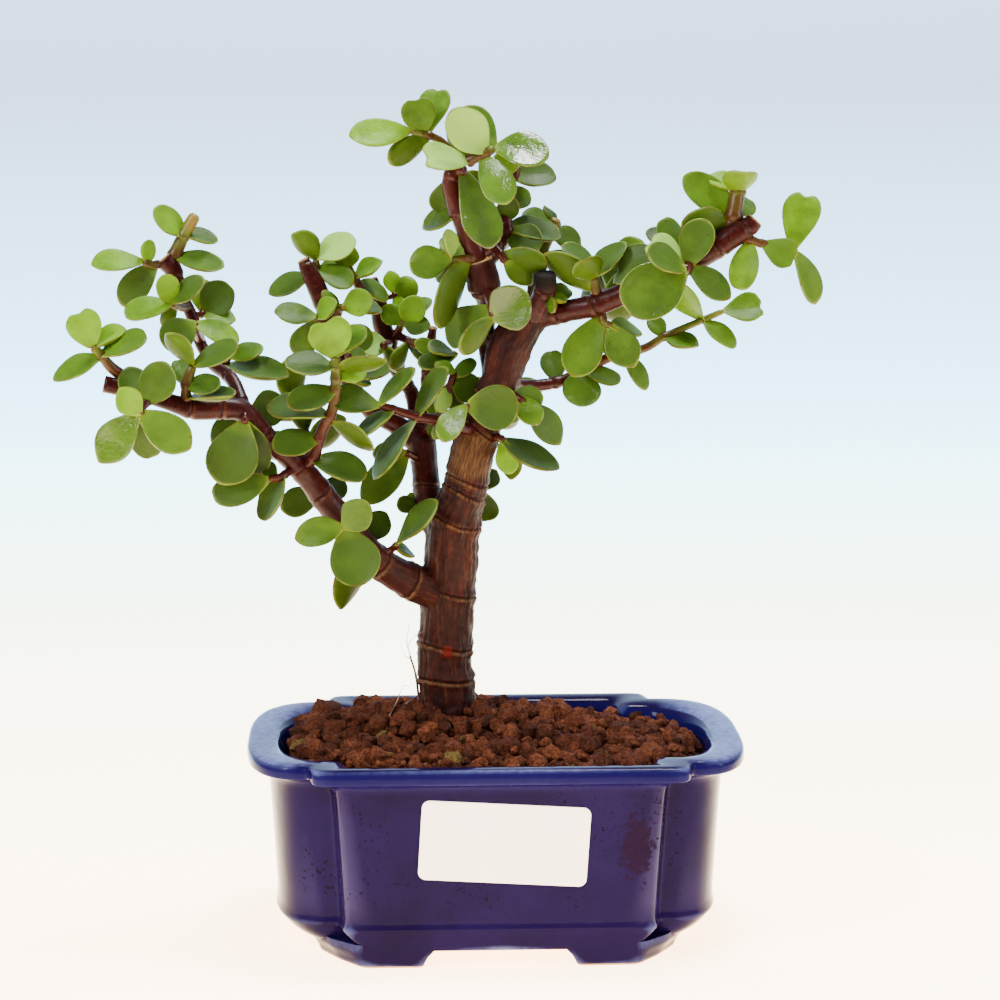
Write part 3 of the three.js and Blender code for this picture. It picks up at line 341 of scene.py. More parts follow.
def bulge(piece, rounds):
    """How sharply the surface bulges at each vertex, in 1/mm, above 0 on an edge and below in a
    groove, spread to the neighbours so many times."""
    mesh = piece.data
    count = len(mesh.vertices)
    place, normal = vertex_rows(piece, "co"), vertex_rows(piece, "normal")
    edges = np.empty(len(mesh.edges) * 2, int)
    mesh.edges.foreach_get("vertices", edges)
    a, b = edges.reshape(-1, 2).T
    span = np.maximum(((place[a] - place[b]) ** 2).sum(1), 0.04)
    bend_a = ((place[a] - place[b]) * normal[a]).sum(1) / span
    bend_b = ((place[b] - place[a]) * normal[b]).sum(1) / span
    total, number = np.zeros(count), np.zeros(count)
    np.add.at(total, a, bend_a)
    np.add.at(total, b, bend_b)
    np.add.at(number, a, 1)
    np.add.at(number, b, 1)
    value = 2 * total / np.maximum(number, 1)
    for _ in range(rounds):
        spread, number = value.copy(), np.ones(count)
        np.add.at(spread, a, value[b])
        np.add.at(spread, b, value[a])
        np.add.at(number, a, 1)
        np.add.at(number, b, 1)
        value = spread / number
    return value


def store(piece, name, values):
    """Keeps one, three or four numbers for each vertex, for a material to read."""
    values = np.asarray(values, np.float32)
    kind, key = {1: ("FLOAT", "value"), 3: ("FLOAT_VECTOR", "vector"),
                 4: ("FLOAT_COLOR", "color")}[1 if values.ndim == 1 else values.shape[1]]
    piece.data.attributes.new(name, kind, "POINT").data.foreach_set(key, values.ravel())


store(pot, "edge", np.clip(bulge(pot, 4), -1, 1))
store(pot, "halo", np.clip(bulge(pot, 16), -1, 1))
settle(pot)
bpy.ops.object.shade_smooth_by_angle(angle=math.radians(50))

# Cobalt glaze: a glassy coat, deep indigo where it lies thick and milky blue where it has run
# off an edge, with pinholes, darker spatter and one red-purple flush beside the front panel's
# right-hand edge. The pale tint on the upward-facing lip is partly thin glaze and partly a painted
# highlight; a painted grey-lilac sheen lies beside the upright edges.
glaze, tree, shader = material("cobalt_glaze_gloss")
where = add(tree, "TexCoord", out="Object")
centred = add(tree, "Mapping", {"Vector": where, "Location": -MIDDLE})
cloud = add(tree, "TexNoise", {"Vector": where, "Scale": 38.0, "Detail": 3.0, "Roughness": 0.55})
deep = add(tree, "ValToRGB", (cloud,), stops=[(0.32, "#0B0420"), (0.72, "#12082E")])
edge = add(tree, "Attribute", out="Fac", attribute_name="edge")
pale_glaze_and_highlight = add(tree, "MapRange", (edge, 0.12, 0.46))
streak = add(tree, "TexNoise", {"Vector": where, "Scale": 420.0, "Detail": 4.0})
worn = add(tree, "MapRange", (streak, 0.35, 0.6, 0.5, 1.0))
pale_glaze_and_highlight = add(tree, "Math", (pale_glaze_and_highlight, worn), operation="MULTIPLY")
# it runs off the top of the lip most, above all at the bowed ends, and less off the lip's side
# and the edges of the body; on the upward-facing lip top the pale tint is also a painted highlight
level = add(tree, "SeparateXYZ", (where,), "Z")  # in metres, like every place in a material
lip = add(tree, "MapRange", (level, 0.0535, 0.0565))
upward = add(tree, "SeparateXYZ", (add(tree, "NewGeometry", out="Normal"),), "Z")
upward = add(tree, "MapRange", (upward, 0.4, 0.85, -0.44, 0.5))
lip_top_glaze_and_highlight = add(tree, "Math", (lip, upward, 0.5), operation="MULTIPLY_ADD")
pale_glaze_and_highlight = add(tree, "Math", (pale_glaze_and_highlight, lip_top_glaze_and_highlight), operation="MULTIPLY")
# painted highlight and thin glaze: paler where the lip at the bowed ends faces up
top = add(tree, "MapRange", {"Value": upward, "From Min": 0.3, "From Max": 0.5, "To Max": 0.42})
lobe = add(tree, "SeparateXYZ", (centred,), "X")
lobe = add(tree, "Math", (lobe,), operation="ABSOLUTE")
lobe = add(tree, "MapRange", (lobe, 0.054, 0.066))
lobe = add(tree, "Math", (lobe, worn), operation="MULTIPLY")
top = add(tree, "Math", (top, lobe), operation="MULTIPLY")
pale_glaze_and_highlight = add(tree, "Math", (pale_glaze_and_highlight, top), operation="MAXIMUM")
# a painted grey-lilac sheen, standing in for the reflection on the rounded upright edges, lies
# beside them, and the lip's side is a purer blue
halo = add(tree, "Attribute", out="Fac", attribute_name="halo")
painted_edge_sheen = add(tree, "MapRange", {"Value": halo, "From Min": 0.02, "From Max": 0.2, "To Max": 0.34})
upright = add(tree, "MapRange", (level, 0.012, 0.02))
upright = add(tree, "Math", (upright, lip), operation="SUBTRACT", use_clamp=True)
painted_edge_sheen = add(tree, "Math", (painted_edge_sheen, upright), operation="MULTIPLY")
rolled = add(tree, "MapRange", (upward, 0.35, -0.35))
rolled = add(tree, "Math", (rolled, lip), operation="MULTIPLY")
body = add(tree, "Mix", {0: rolled, 6: deep, 7: linear("#0C0632")}, 2, data_type="RGBA")
# painted sheen beside the upright edges
body = add(tree, "Mix", {0: painted_edge_sheen, 6: body, 7: linear("#5C5478")}, 2, data_type="RGBA")
# the pale tint: thin glaze on the edges, with a painted highlight on the upward-facing lip
body = add(tree, "Mix", {0: pale_glaze_and_highlight, 6: body, 7: linear("#6C78B4")}, 2, data_type="RGBA")
# spatter: ragged dark flecks under 1 mm, in patches on the body
dot = add(tree, "TexNoise", {"Vector": where, "Scale": 820.0, "Detail": 2.0})
dot = add(tree, "MapRange", (dot, 0.61, 0.66))
dot = add(tree, "Math", (dot, upright), operation="MULTIPLY")
patch = add(tree, "TexNoise", {"Vector": where, "Scale": 55.0, "Detail": 2.0})
patch = add(tree, "MapRange", (patch, 0.46, 0.56))
dot = add(tree, "Math", (dot, patch), operation="MULTIPLY")
body = add(tree, "Mix", {0: dot, 6: body, 7: linear("#050212")}, 2, data_type="RGBA")
# the flush: an upright patch 12 mm wide and 26 mm high, ragged by a 3 mm noise
spot = add(tree, "Mapping", {"Vector": centred, "Location": (-0.0405, 0.0475, -0.0365)})
spot = add(tree, "VectorMath", (spot, (170.0, 60.0, 78.0)), operation="MULTIPLY")
reach = add(tree, "VectorMath", (spot,), "Value", operation="LENGTH")
ragged = add(tree, "TexNoise", {"Vector": where, "Scale": 420.0, "Detail": 6.0, "Roughness": 0.75})
ragged = add(tree, "Math", (ragged, 2.6, reach), operation="MULTIPLY_ADD")
flush = add(tree, "MapRange", (ragged, 2.1, 1.95))
red = add(tree, "Mix", {0: streak, 6: linear("#0A021C"), 7: linear("#160418")}, 2, data_type="RGBA")
body = add(tree, "Mix", {0: flush, 6: body, 7: red}, 2, data_type="RGBA")
# bare clay: the soles of the feet, and what looks down under the body
facing = add(tree, "SeparateXYZ", (add(tree, "NewGeometry", out="True Normal"),), "Z")
down = add(tree, "Math", (facing, -0.85), operation="LESS_THAN")
low = add(tree, "Math", (level, 0.0062), operation="LESS_THAN")
sole = add(tree, "Math", (level, 0.0005), operation="LESS_THAN")
bare = add(tree, "Math", (down, low, sole), operation="MULTIPLY_ADD", use_clamp=True)
grit = add(tree, "TexNoise", {"Vector": where, "Scale": 1500.0, "Detail": 3.0})
clay = add(tree, "Mix", {0: grit, 6: linear("#8E6440"), 7: linear("#C09A70")}, 2, data_type="RGBA")
skin = add(tree, "Mix", {0: bare, 6: body, 7: clay}, 2, data_type="RGBA")
gloss = add(tree, "MapRange", {"Value": bare, "To Min": 0.09, "To Max": 0.85})
gloss = add(tree, "Math", (flush, 0.12, gloss), operation="MULTIPLY_ADD")
ripple = add(tree, "TexNoise", {"Vector": where, "Scale": 85.0, "Detail": 1.0})
ripple = add(tree, "Bump", {"Height": ripple, "Strength": 0.35, "Distance": 0.0006})
pitted = add(tree, "Bump", {"Height": dot, "Strength": 0.25, "Distance": 0.0001, "Normal": ripple},
             invert=True)
feed(shader, {"Base Color": skin, "Roughness": gloss, "IOR": 1.48, "Specular IOR Level": 0.03,
              "Normal": pitted})
coat(pot, glaze)
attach(pot, "root")
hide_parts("pot")

# ---------- drain meshes ----------
# Two squares cut from moulded black polyethylene mesh, laid over the holes before the soil went
# in. The solids have the real shape, so only their finish is added.

plastic, tree, shader = material("black_polyethylene_moulded")
where = add(tree, "TexCoord", out="Object")
grain = add(tree, "TexNoise", {"Vector": where, "Scale": 1200.0, "Detail": 2.0})
tone = add(tree, "Mix", {0: grain, 6: linear("#16181A"), 7: linear("#2B2E31")}, 2, data_type="RGBA")
fine = add(tree, "Bump", {"Height": grain, "Strength": 0.3, "Distance": 0.00005})
feed(shader, {"Base Color": tone, "Roughness": 0.5, "Normal": fine})
for name in ("drain_mesh_left", "drain_mesh_right"):
    coat(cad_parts[name], plastic)

# ---------- label ----------
# A die-cut sticker with round corners, satin coated paper, pressed on the front panel a little
# askew. It is blank.

LABEL = {"length": 50, "height": 24.5, "corner": 2.4, "x": 1, "z": 38.5, "tilt": 3.4}
PANEL_LEAN = math.atan2(2.4, 38)  # the wall leans out 2.4 mm in its 38 mm
PANEL_Y = 0.98 - BODY_PLAN["depth"]  # its face at the label's middle
bpy.ops.mesh.primitive_plane_add(size=1)
label = bpy.context.object
label.name = "blank_label"
label.data.transform(Matrix.Diagonal((LABEL["length"], LABEL["height"], 1, 1)))
bpy.ops.object.mode_set(mode="EDIT")
bpy.ops.mesh.select_all(action="SELECT")
bpy.ops.mesh.bevel(offset=LABEL["corner"], segments=8, affect="VERTICES")
bpy.ops.mesh.select_all(action="SELECT")
bpy.ops.mesh.inset(thickness=0.35)
bpy.ops.object.mode_set(mode="OBJECT")
apply_modifier(label, "SOLIDIFY", thickness=0.32, offset=1)
apply_modifier(label, "BEVEL", width=0.1, segments=2, limit_method="ANGLE")
turn = (Matrix.Rotation(math.pi / 2 + PANEL_LEAN, 4, "X")
        @ Matrix.Rotation(math.radians(-LABEL["tilt"]), 4, "Z"))
label.data.transform(Matrix.Translation((LABEL["x"], PANEL_Y - 0.02, LABEL["z"])) @ turn)
settle(label)
bpy.ops.object.shade_smooth_by_angle(angle=math.radians(35))

paper, tree, shader = material("coated_paper_satin")
where = add(tree, "TexCoord", out="Object")
# paper fibre is about 0.02 mm across; it is drawn at 0.4 mm so that it shows at all
fibre = add(tree, "TexNoise", {"Vector": where, "Scale": 2400.0, "Detail": 2.0})
cockle = add(tree, "TexNoise", {"Vector": where, "Scale": 60.0, "Detail": 1.0})
tone = add(tree, "Mix", {0: cockle, 6: linear("#F3E7E2"), 7: linear("#FAF1ED")}, 2, data_type="RGBA")
flat = add(tree, "Bump", {"Height": cockle, "Strength": 0.25, "Distance": 0.0003})
flat = add(tree, "Bump", {"Height": fibre, "Strength": 0.1, "Distance": 0.00003, "Normal": flat})
feed(shader, {"Base Color": tone, "Roughness": 0.42, "Normal": flat})
coat(label, paper)
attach(label, "root")
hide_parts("label")

# ---------- soil ----------
# Baked red clay, broken and sieved to 3 to 8 mm, mounded round the trunk. Each granule is dry and
# matt with a pitted, crumbly skin. The bed fills the pot; loose granules lie over it.

TRUNK_FOOT = (-14, 8)
BED_X, BED_Y = 74, 52  # how far the granules reach from the middle
PITCH = 4.0  # between neighbouring granules of a row
TRUNK_ROOM = 8.5  # kept free of granules round the trunk's middle


def joined(pieces):
    """The pieces as one object, under the first one's name."""
    bpy.ops.object.select_all(action="DESELECT")
    for piece in pieces:
        piece.select_set(True)
    bpy.context.view_layer.objects.active = pieces[0]
    bpy.ops.object.join()
    return bpy.context.object


def soil_level(x, y):
    """The height of the soil's surface: a mound round the trunk on a bed that falls a little
    to the right and to the back."""
    spread = ((x - TRUNK_FOOT[0]) / 44) ** 2 + ((y - TRUNK_FOOT[1]) / 30) ** 2
    return 58.5 + 9 * math.exp(-spread) - 0.018 * (x + y)


def inside(ring, x, y):
    """Whether a point lies inside a closed ring of points."""
    x1, y1 = ring[:, 0], ring[:, 1]
    x2, y2 = np.roll(x1, 1), np.roll(y1, 1)
    crossing = (y1 > y) != (y2 > y)
    left = x < (x2 - x1) * (y - y1) / np.where(y2 == y1, 1, y2 - y1) + x1
    return bool((crossing & left).sum() % 2)


# The bed: up inside the wall, then inwards a little below the granules.
bed_rings = [at_height(pot_plan(0, out), high) for out, high in
             ((-14.2, 11.4), (-11.6, 11.9), (-9.8, 13.6), (-8.6, 17), (-7.2, 30), (-6.2, 44), (-5.6, 53))]
bed_ring = pot_plan(0, -5.6)
for share in (0.97, 0.9, 0.8, 0.68, 0.55, 0.42, 0.3, 0.18, 0.08):
    ring = bed_ring * share + np.array(TRUNK_FOOT) * (1 - share)
    bed_rings.append(np.array([[x, y, soil_level(x, y) - 3.2] for x, y in ring]))
bed = tube_grid("granule_bed", bed_rings)

# Eight broken granules, each an icosphere knocked out of round, of 80 faces.
shapes = []
for number in range(8):
    bpy.ops.mesh.primitive_ico_sphere_add(subdivisions=2, radius=0.5)
    lump = bpy.context.object
    for vertex in lump.data.vertices:
        coarse = noise.noise(vertex.co * 2.3 + Vector((7.1, 3.3, 1.9)) * number)
        fine = noise.noise(vertex.co * 6.1 + Vector((2.7, 9.4, 5.2)) * number)
        vertex.co *= 1 + 0.55 * coarse + 0.3 * fine
    lump.data.transform(Matrix.Diagonal((1.08, 0.92, 0.8, 1)))
    shapes.append(lump.data.copy())
    bpy.data.objects.remove(lump)

seeded = random.Random(41)
granules = []
for drop, keep in ((-1.6, 1.0), (0.7, 0.42)):
    y = -BED_Y
    row = 0
    while y < BED_Y:
        x = -BED_X + (row % 2) * PITCH / 2
        while x < BED_X:
            spot_x, spot_y = x + seeded.uniform(-1.5, 1.5), y + seeded.uniform(-1.5, 1.5)
            size = seeded.choice((3.0, 3.6, 4.2, 4.8, 5.6, 6.8)) * seeded.uniform(0.88, 1.12)
            wall_room = pot_plan(0, -5.3 - 0.42 * size)
            from_trunk = math.hypot(spot_x - TRUNK_FOOT[0], spot_y - TRUNK_FOOT[1])
            if (seeded.random() < keep and from_trunk > TRUNK_ROOM
                    and inside(wall_room[::6], spot_x, spot_y)):
                high = soil_level(spot_x, spot_y) + drop + seeded.uniform(-0.7, 0.9)
                granules.append((spot_x, spot_y, high, size))
            x += PITCH
        y += PITCH * 0.86
        row += 1
# the large lump that lies on the left, against the lip
granules.append((-53, 14, 63.5, 11.5))

clumps = []
for spot_x, spot_y, high, size in granules:
    mesh = seeded.choice(shapes).copy()
    turn = Matrix.Rotation(seeded.uniform(0, 6.28), 4, (seeded.uniform(-1, 1), seeded.uniform(-1, 1), 1))
    mesh.transform(Matrix.Translation((spot_x, spot_y, high)) @ turn @ Matrix.Scale(size, 4))
    tint = mesh.attributes.new("tint", "FLOAT", "POINT")
    tint.data.foreach_set("value", np.full(len(mesh.vertices), seeded.random(), np.float32))
    clumps.append(bpy.data.objects.new("granule", mesh))
    bpy.context.scene.collection.objects.link(clumps[-1])
granule_layer = joined(clumps)
granule_layer.name = "clay_granules"
bpy.ops.object.shade_smooth_by_angle(angle=math.radians(46))
settle(granule_layer)
settle(bed)
store(bed, "tint", np.full(len(bed.data.vertices), 0.3))

# Fired clay: red-brown, ochre where it is freshly broken, with painted shade darkening the pits
# and the raised crumbs lighter. The pits are 0.3 to 1 mm wide.
granule_clay, tree, shader = material("fired_clay_dry_crumbly")
where = add(tree, "TexCoord", out="Object")
tint = add(tree, "Attribute", out="Fac", attribute_name="tint")
body = add(tree, "ValToRGB", (tint,), stops=[(0, "#381D11"), (0.35, "#482314"), (0.7, "#552C1A"),
                                              (0.985, "#643620"), (0.996, "#5A5024"), (1, "#704329")])
pits = add(tree, "TexNoise", {"Vector": where, "Scale": 900.0, "Detail": 5.0, "Roughness": 0.7})
crumbs = add(tree, "TexVoronoi", {"Vector": where, "Scale": 1300.0})
rough = add(tree, "Math", (crumbs, -0.35, pits), operation="MULTIPLY_ADD")
# painted shade: darker in the pits, lighter on the raised crumbs
shade = add(tree, "MapRange", (rough, 0.18, 0.62, 0.4, 1.35))
pit_shaded_clay = add(tree, "Mix", {0: 1.0, 6: body, 7: shade}, 2, data_type="RGBA", blend_type="MULTIPLY")
relief = add(tree, "Bump", {"Height": rough, "Strength": 0.9, "Distance": 0.0011})
feed(shader, {"Base Color": pit_shaded_clay, "Roughness": 0.92, "Specular IOR Level": 0.08, "Normal": relief})
for piece in (granule_layer, bed):
    coat(piece, granule_clay)
    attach(piece, "root")
    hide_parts("soil")

# ---------- wood ----------
# The trunk with its old limbs, all one growth. Round jointed wood, a ring-shaped scar at every
# old leaf node, fine ridges along the grain, and pruning stubs. Old bark is brown and cracked;
# younger limbs are smooth and burgundy.

# Each limb: name, how it ends, and its course as x, y, z, thickness.
GROWN, SAWN, CHARRED = 0, 1, 2
LIMBS = [
    ("trunk", GROWN, [(-14, 8, 44, 20), (-14, 8, 54, 19), (-14, 8, 69, 17.6), (-15, 8, 82, 16.6),
     (-14, 7, 102, 16.6), (-13, 6, 115, 16.3), (-12, 4, 127, 16.6), (-9, 2, 137, 13.4),
     (-6, 0, 151, 13.4), (-4, 0, 156, 12), (2, 0, 171, 12.2), (5, 0, 181, 13.4), (10, 0, 189, 12)]),
    ("charred_stub", CHARRED, [(8, 0, 184, 8), (12, -4, 192, 6.3), (15, -8, 199, 6.7),
     (15, -10, 204, 6.7)]),
    ("left_branch", GROWN, [(-13, 6, 103, 12), (-21, 4, 106, 11.7), (-35, -2, 115, 9.8),
     (-47, -8, 130, 8.5), (-59, -12, 146, 7.5), (-69, -16, 156, 6.4), (-76, -18, 164, 6.7),
     (-90, -21, 165, 6.3), (-99, -23, 168, 5.1), (-108, -24, 171, 4.6), (-116, -25, 173, 5.3)]),
    ("top_left", SAWN, [(-75, -17, 163, 5), (-79, -8, 172, 4.3), (-85, 0, 176, 3.9),
     (-89, 4, 182, 3.9), (-92, 6, 191, 3.9), (-95, 6, 197, 4.2), (-97, 6, 204, 5.6),
     (-100, 6, 208, 7)]),
    ("second_trunk", GROWN, [(-15, 6, 121, 8), (-19, 11, 128, 8.7), (-21, 15, 143, 8.7),
     (-22, 17, 150, 9.7)]),
    ("stub_one", SAWN, [(-21, 17, 148, 8), (-28, 17, 154, 6.8), (-37, 15, 160, 6.2),
     (-43, 13, 167, 5.6), (-46, 11, 176, 5.6), (-50, 10, 188, 5.6), (-54, 10, 199, 6.2),
     (-58, 10, 207, 4)]),
    ("spur_one", SAWN, [(-50, 10, 185, 4), (-48, 9, 190, 3.4)]),
    ("stub_two", SAWN, [(-21, 17, 149, 6.8), (-23, 20, 155, 5.6), (-25, 24, 165, 4.7),
     (-30, 27, 172, 4.4), (-32, 28, 180, 5.7), (-34, 28, 186, 6), (-35, 28, 194, 4.7),
     (-37, 28, 200, 3.8)]),
    ("spur_two", SAWN, [(-33, 28, 179, 3.8), (-29, 27, 182, 3.5)]),
    ("upright_stem", SAWN, [(-21, 17, 149, 5.6), (-20, 18, 156, 4.7), (-20, 18, 171, 4.1),
     (-19, 16, 180, 3.4), (-18, 14, 186, 2.8)]),
    ("leader", SAWN, [(1, 3, 167, 7.4), (-2, 7, 181, 5.4), (-2, 4, 190, 5.7), (-2, 1, 196, 7.6),
     (-3, 0, 200, 10.2), (-5, 0, 207, 9.6)]),
    ("leader_fork", SAWN, [(-4, 0, 206, 7.3), (2, 4, 212, 4.9)]),
    ("right_branch", SAWN, [(6, 0, 184, 11), (12, -1, 189, 7.4), (21, -4, 192, 6.8),
     (30, -6, 194, 6.8), (44, -8, 200, 6.4), (59, -10, 207, 6.3), (71, -11, 215, 7.4),
     (76, -11, 218, 6), (78, -11, 220, 5.4)]),
    ("back_stem", SAWN, [(8, 2, 184, 6.1), (12, 11, 194, 4)]),
]
for k in range(4):
    turn = (k + 0.3) / 4 * 2 * math.pi
    LIMBS.append((f"root_{k}", GROWN, [
        (-14, 8, 56, 9),
        (-14 + 14 * math.cos(turn), 8 + 11 * math.sin(turn), 48, 7),
        (-14 + 30 * math.cos(turn), 8 + 20 * math.sin(turn), 36, 4.5)]))

# Heights of the ring scars on the trunk.
TRUNK_SCARS = (76.8, 87.6, 104.9, 127.8, 137.1, 140.8, 155.1, 165.6)


def smooth_line(course, step):
    """Points about step apart on a smooth line through a course; further columns go along."""
    knots = np.array(course, float)
    knots = np.vstack([2 * knots[0] - knots[1], knots, 2 * knots[-1] - knots[-2]])
    line = []
    for a, b, c, d in zip(knots, knots[1:], knots[2:], knots[3:]):
        before, here, after = (max(np.linalg.norm((q - p)[:3]), 1e-3) ** 0.5
                               for p, q in ((a, b), (b, c), (c, d)))
        leave = ((b - a) / before - (c - a) / (before + here) + (c - b) / here) * here
        arrive = ((c - b) / here - (d - b) / (here + after) + (d - c) / after) * here
        count = max(2, round(np.linalg.norm((c - b)[:3]) / step))
        t = (np.arange(count) / count)[:, None]
        line.append((2 * t**3 - 3 * t**2 + 1) * b + (t**3 - 2 * t**2 + t) * leave
                    + (3 * t**2 - 2 * t**3) * c + (t**3 - t**2) * arrive)
    return np.vstack(line + [knots[-2:-1]])


def line_frames(line):
    """At each point of a line: the way along it and two ways across it, without twisting."""
    along = np.gradient(line[:, :3], axis=0)
    along /= np.linalg.norm(along, axis=1)[:, None]
    across = np.array([0, -1, 0.01])
    frames = []
    for way in along:
        across = across - way * (across @ way)
        across = across / np.linalg.norm(across)
        frames.append((way, across, np.cross(way, across)))
    return np.array(frames)


def sweep_rings(line, radius, sides):
    """Rings of points of the given radius round a line."""
    frames = line_frames(line)
    turn = np.linspace(0, 2 * np.pi, sides, endpoint=False)
    return (line[:, None, :3] + np.asarray(radius)[:, None, None]
            * (np.cos(turn)[None, :, None] * frames[:, None, 1]
               + np.sin(turn)[None, :, None] * frames[:, None, 2]))


FAR = 50.0  # a run that is far from every ring scar
SKIN_GRAIN = 0.62  # of the limbs' common skin
limb_pieces, samples, scar_runs = [], [], []
for number, (name, _, course) in enumerate(LIMBS):
    line = smooth_line(course, 1.0)
    run = run_along(line[:, :3])
    limb_pieces.append(tube_grid(name, sweep_rings(line, line[:, 3] / 2, 18 if course[0][3] > 9 else 12)))
    draw = random.Random(500 + number)
    if name == "trunk":
        nodes = [float(np.interp(z, line[:, 2], run)) for z in TRUNK_SCARS]
    else:
        nodes, place = [], draw.uniform(3, 6)
        while place < run[-1] - 1:
            nodes.append(place)
            place += draw.uniform(9, 17)
    frames = line_frames(line)
    for i in range(len(line)):
        # where it is, its frame, radius, distance from the limb's foot, limb, distance to its end
        samples.append((line[i, :3], frames[i], line[i, 3] / 2, run[i], number, run[-1] - run[i]))
    scar_runs.append(np.array(nodes + [-FAR]))

wood = joined(limb_pieces)
wood.name = "bonsai_wood"
apply_modifier(wood, "REMESH", mode="VOXEL", voxel_size=SKIN_GRAIN, use_smooth_shade=True)
apply_modifier(wood, "SMOOTH", factor=0.5, iterations=4)

# Where each point of the skin lies on its limb.
skin, normals = vertex_rows(wood, "co"), vertex_rows(wood, "normal")
centres = np.array([s[0] for s in samples])
radii = np.array([s[2] for s in samples])
nearest = np.concatenate([
    np.argmin(np.linalg.norm(part[:, None] - centres[None], axis=2) - radii[None], axis=1)
    for part in np.array_split(skin, 60)])
axes = np.array([s[1] for s in samples])[nearest]
offset = skin - centres[nearest]
local = np.einsum("nij,nj->ni", axes, offset)
along = np.array([s[3] for s in samples])[nearest] + local[:, 0]
thick = radii[nearest]
limb_number = np.array([s[4] for s in samples])[nearest]
to_end = np.array([s[5] for s in samples])[nearest] - local[:, 0]

# The distance along the limb to the nearest ring scar; each ring is a little askew.
angle = np.arctan2(local[:, 2], local[:, 1])
scar = np.full(len(skin), FAR)
for number, nodes in enumerate(scar_runs):
    own = limb_number == number
    askew = (along[own] + 0.16 * thick[own] * np.sin(angle[own] + 1.3 * number)
             + 0.2 * np.sin(3 * angle[own]))
    gap = askew[:, None] - nodes[None]
    scar[own] = gap[np.arange(own.sum()), np.argmin(np.abs(gap), axis=1)]
# The relief: a swelling with a fine groove at each ring, then lumps, flakes of bark and long flutes.
swell = (0.075 * thick * np.exp(-((np.abs(scar) - 0.9) / 1.3) ** 2)
         - 0.28 * np.exp(-(scar / 0.55) ** 2) * np.minimum(1, thick / 3))
lumps = np.array([noise.noise(Vector(p) * 0.11) + 0.5 * noise.noise(Vector(p) * 0.31) for p in skin])
flakes = np.array([noise.noise(Vector(p) * 0.55) for p in skin]) * np.clip((thick - 3.5) / 4, 0, 1)
flutes = np.array([noise.noise(Vector((q[1] * 0.9, q[2] * 0.9, a * 0.09 + n * 7.0)))
                   for q, a, n in zip(local, along, limb_number)])
raised = (swell + 0.05 * thick * lumps + 0.07 * thick * flutes * np.clip((thick - 3) / 4, 0.15, 1)
          + 0.32 * flakes)
skin = skin + normals * raised[:, None]
wood.data.vertices.foreach_set("co", skin.ravel())
wood.data.update()

ending = np.array([limb[1] for limb in LIMBS])[limb_number]
store(wood, "grain", np.stack([local[:, 1], local[:, 2], along * 0.12 + limb_number * 3.7], 1))
store(wood, "scar", scar)
store(wood, "youth", np.clip((5.7 - thick) / 1.9, 0, 1))
on_joint = np.clip(1.25 * (1 - (np.abs(skin[:, 2] - 148.2) / 7.6) ** 6), 0, 1)
store(wood, "golden", np.where(limb_number == 0, on_joint, 0))
from_bud = np.linalg.norm((skin - (-14.3, -1, 86.8)) * (1, 0.6, 0.85), axis=1)
store(wood, "bud", np.clip(1.5 - from_bud / 1.5, 0, 1))
store(wood, "char", np.where(ending == CHARRED, np.clip(1 - (to_end - 2.5) / 3.5, 0, 1), 0))
store(wood, "cut", np.where(ending == SAWN, np.clip((0.5 - to_end) / 0.5, 0, 1), 0))
settle(wood)

# Bark: dry and matt, dark red-brown with olive and golden flecks where it sheds, a worn pale lip
# and a dark line at every ring scar, deepened with painted shade in its groove, golden on the
# swollen joint. Young limbs are smooth burgundy with a satin shine. The ridges are 0.5 to 0.8 mm
# apart and run along the grain.
bark, tree, shader = material("old_bark_dry_ridged")
where = add(tree, "TexCoord", out="Object")
grain = add(tree, "Attribute", out="Vector", attribute_name="grain")
scar_at, youth, golden, bud, char, cut = (
    add(tree, "Attribute", out="Fac", attribute_name=name)
    for name in ("scar", "youth", "golden", "bud", "char", "cut"))
coarse = add(tree, "Mapping", {"Vector": grain, "Scale": (1.0, 1.0, 2.4)})
ridges = add(tree, "TexNoise", {"Vector": grain, "Scale": 1.9, "Detail": 5.0, "Roughness": 0.62})
patches = add(tree, "TexNoise", {"Vector": coarse, "Scale": 0.3, "Detail": 6.0, "Roughness": 0.7})
flecks = add(tree, "TexNoise", {"Vector": coarse, "Scale": 0.85, "Detail": 5.0, "Roughness": 0.7})
specks = add(tree, "TexNoise", {"Vector": where, "Scale": 900.0, "Detail": 3.0})
mottle = add(tree, "Math", (ridges, 0.35, patches), operation="MULTIPLY_ADD")
old = add(tree, "ValToRGB", (mottle,), stops=[(0.46, "#0D0202"), (0.58, "#160302"), (0.69, "#220604"),
                                              (0.79, "#2E0B06"), (0.92, "#421E0F")])
shed = add(tree, "MapRange", (flecks, 0.54, 0.66))
often = add(tree, "MapRange", (patches, 0.42, 0.6, 0.15, 0.8))
shed = add(tree, "Math", (shed, often), operation="MULTIPLY")
old = add(tree, "Mix", {0: shed, 6: old, 7: linear("#442810")}, 2, data_type="RGBA")
young = add(tree, "ValToRGB", (specks,), stops=[(0.3, "#160303"), (0.5, "#220504"), (0.64, "#2C0805"),
                                                (0.75, "#40160E")])
joint = add(tree, "ValToRGB", (ridges,), stops=[(0.32, "#1A0C05"), (0.5, "#36200D"), (0.68, "#52391B")])
body = add(tree, "Mix", {0: youth, 6: old, 7: young}, 2, data_type="RGBA")
body = add(tree, "Mix", {0: golden, 6: body, 7: joint}, 2, data_type="RGBA")
streaks = add(tree, "TexNoise", {"Vector": grain, "Scale": 0.42, "Detail": 3.0})
red = add(tree, "MapRange", (streaks, 0.52, 0.6))
red = add(tree, "Math", (red, 0.8), operation="MULTIPLY")
fainter = add(tree, "MapRange", (golden, 0.0, 1.0, 1.0, 0.2))
red = add(tree, "Math", (red, fainter), operation="MULTIPLY")
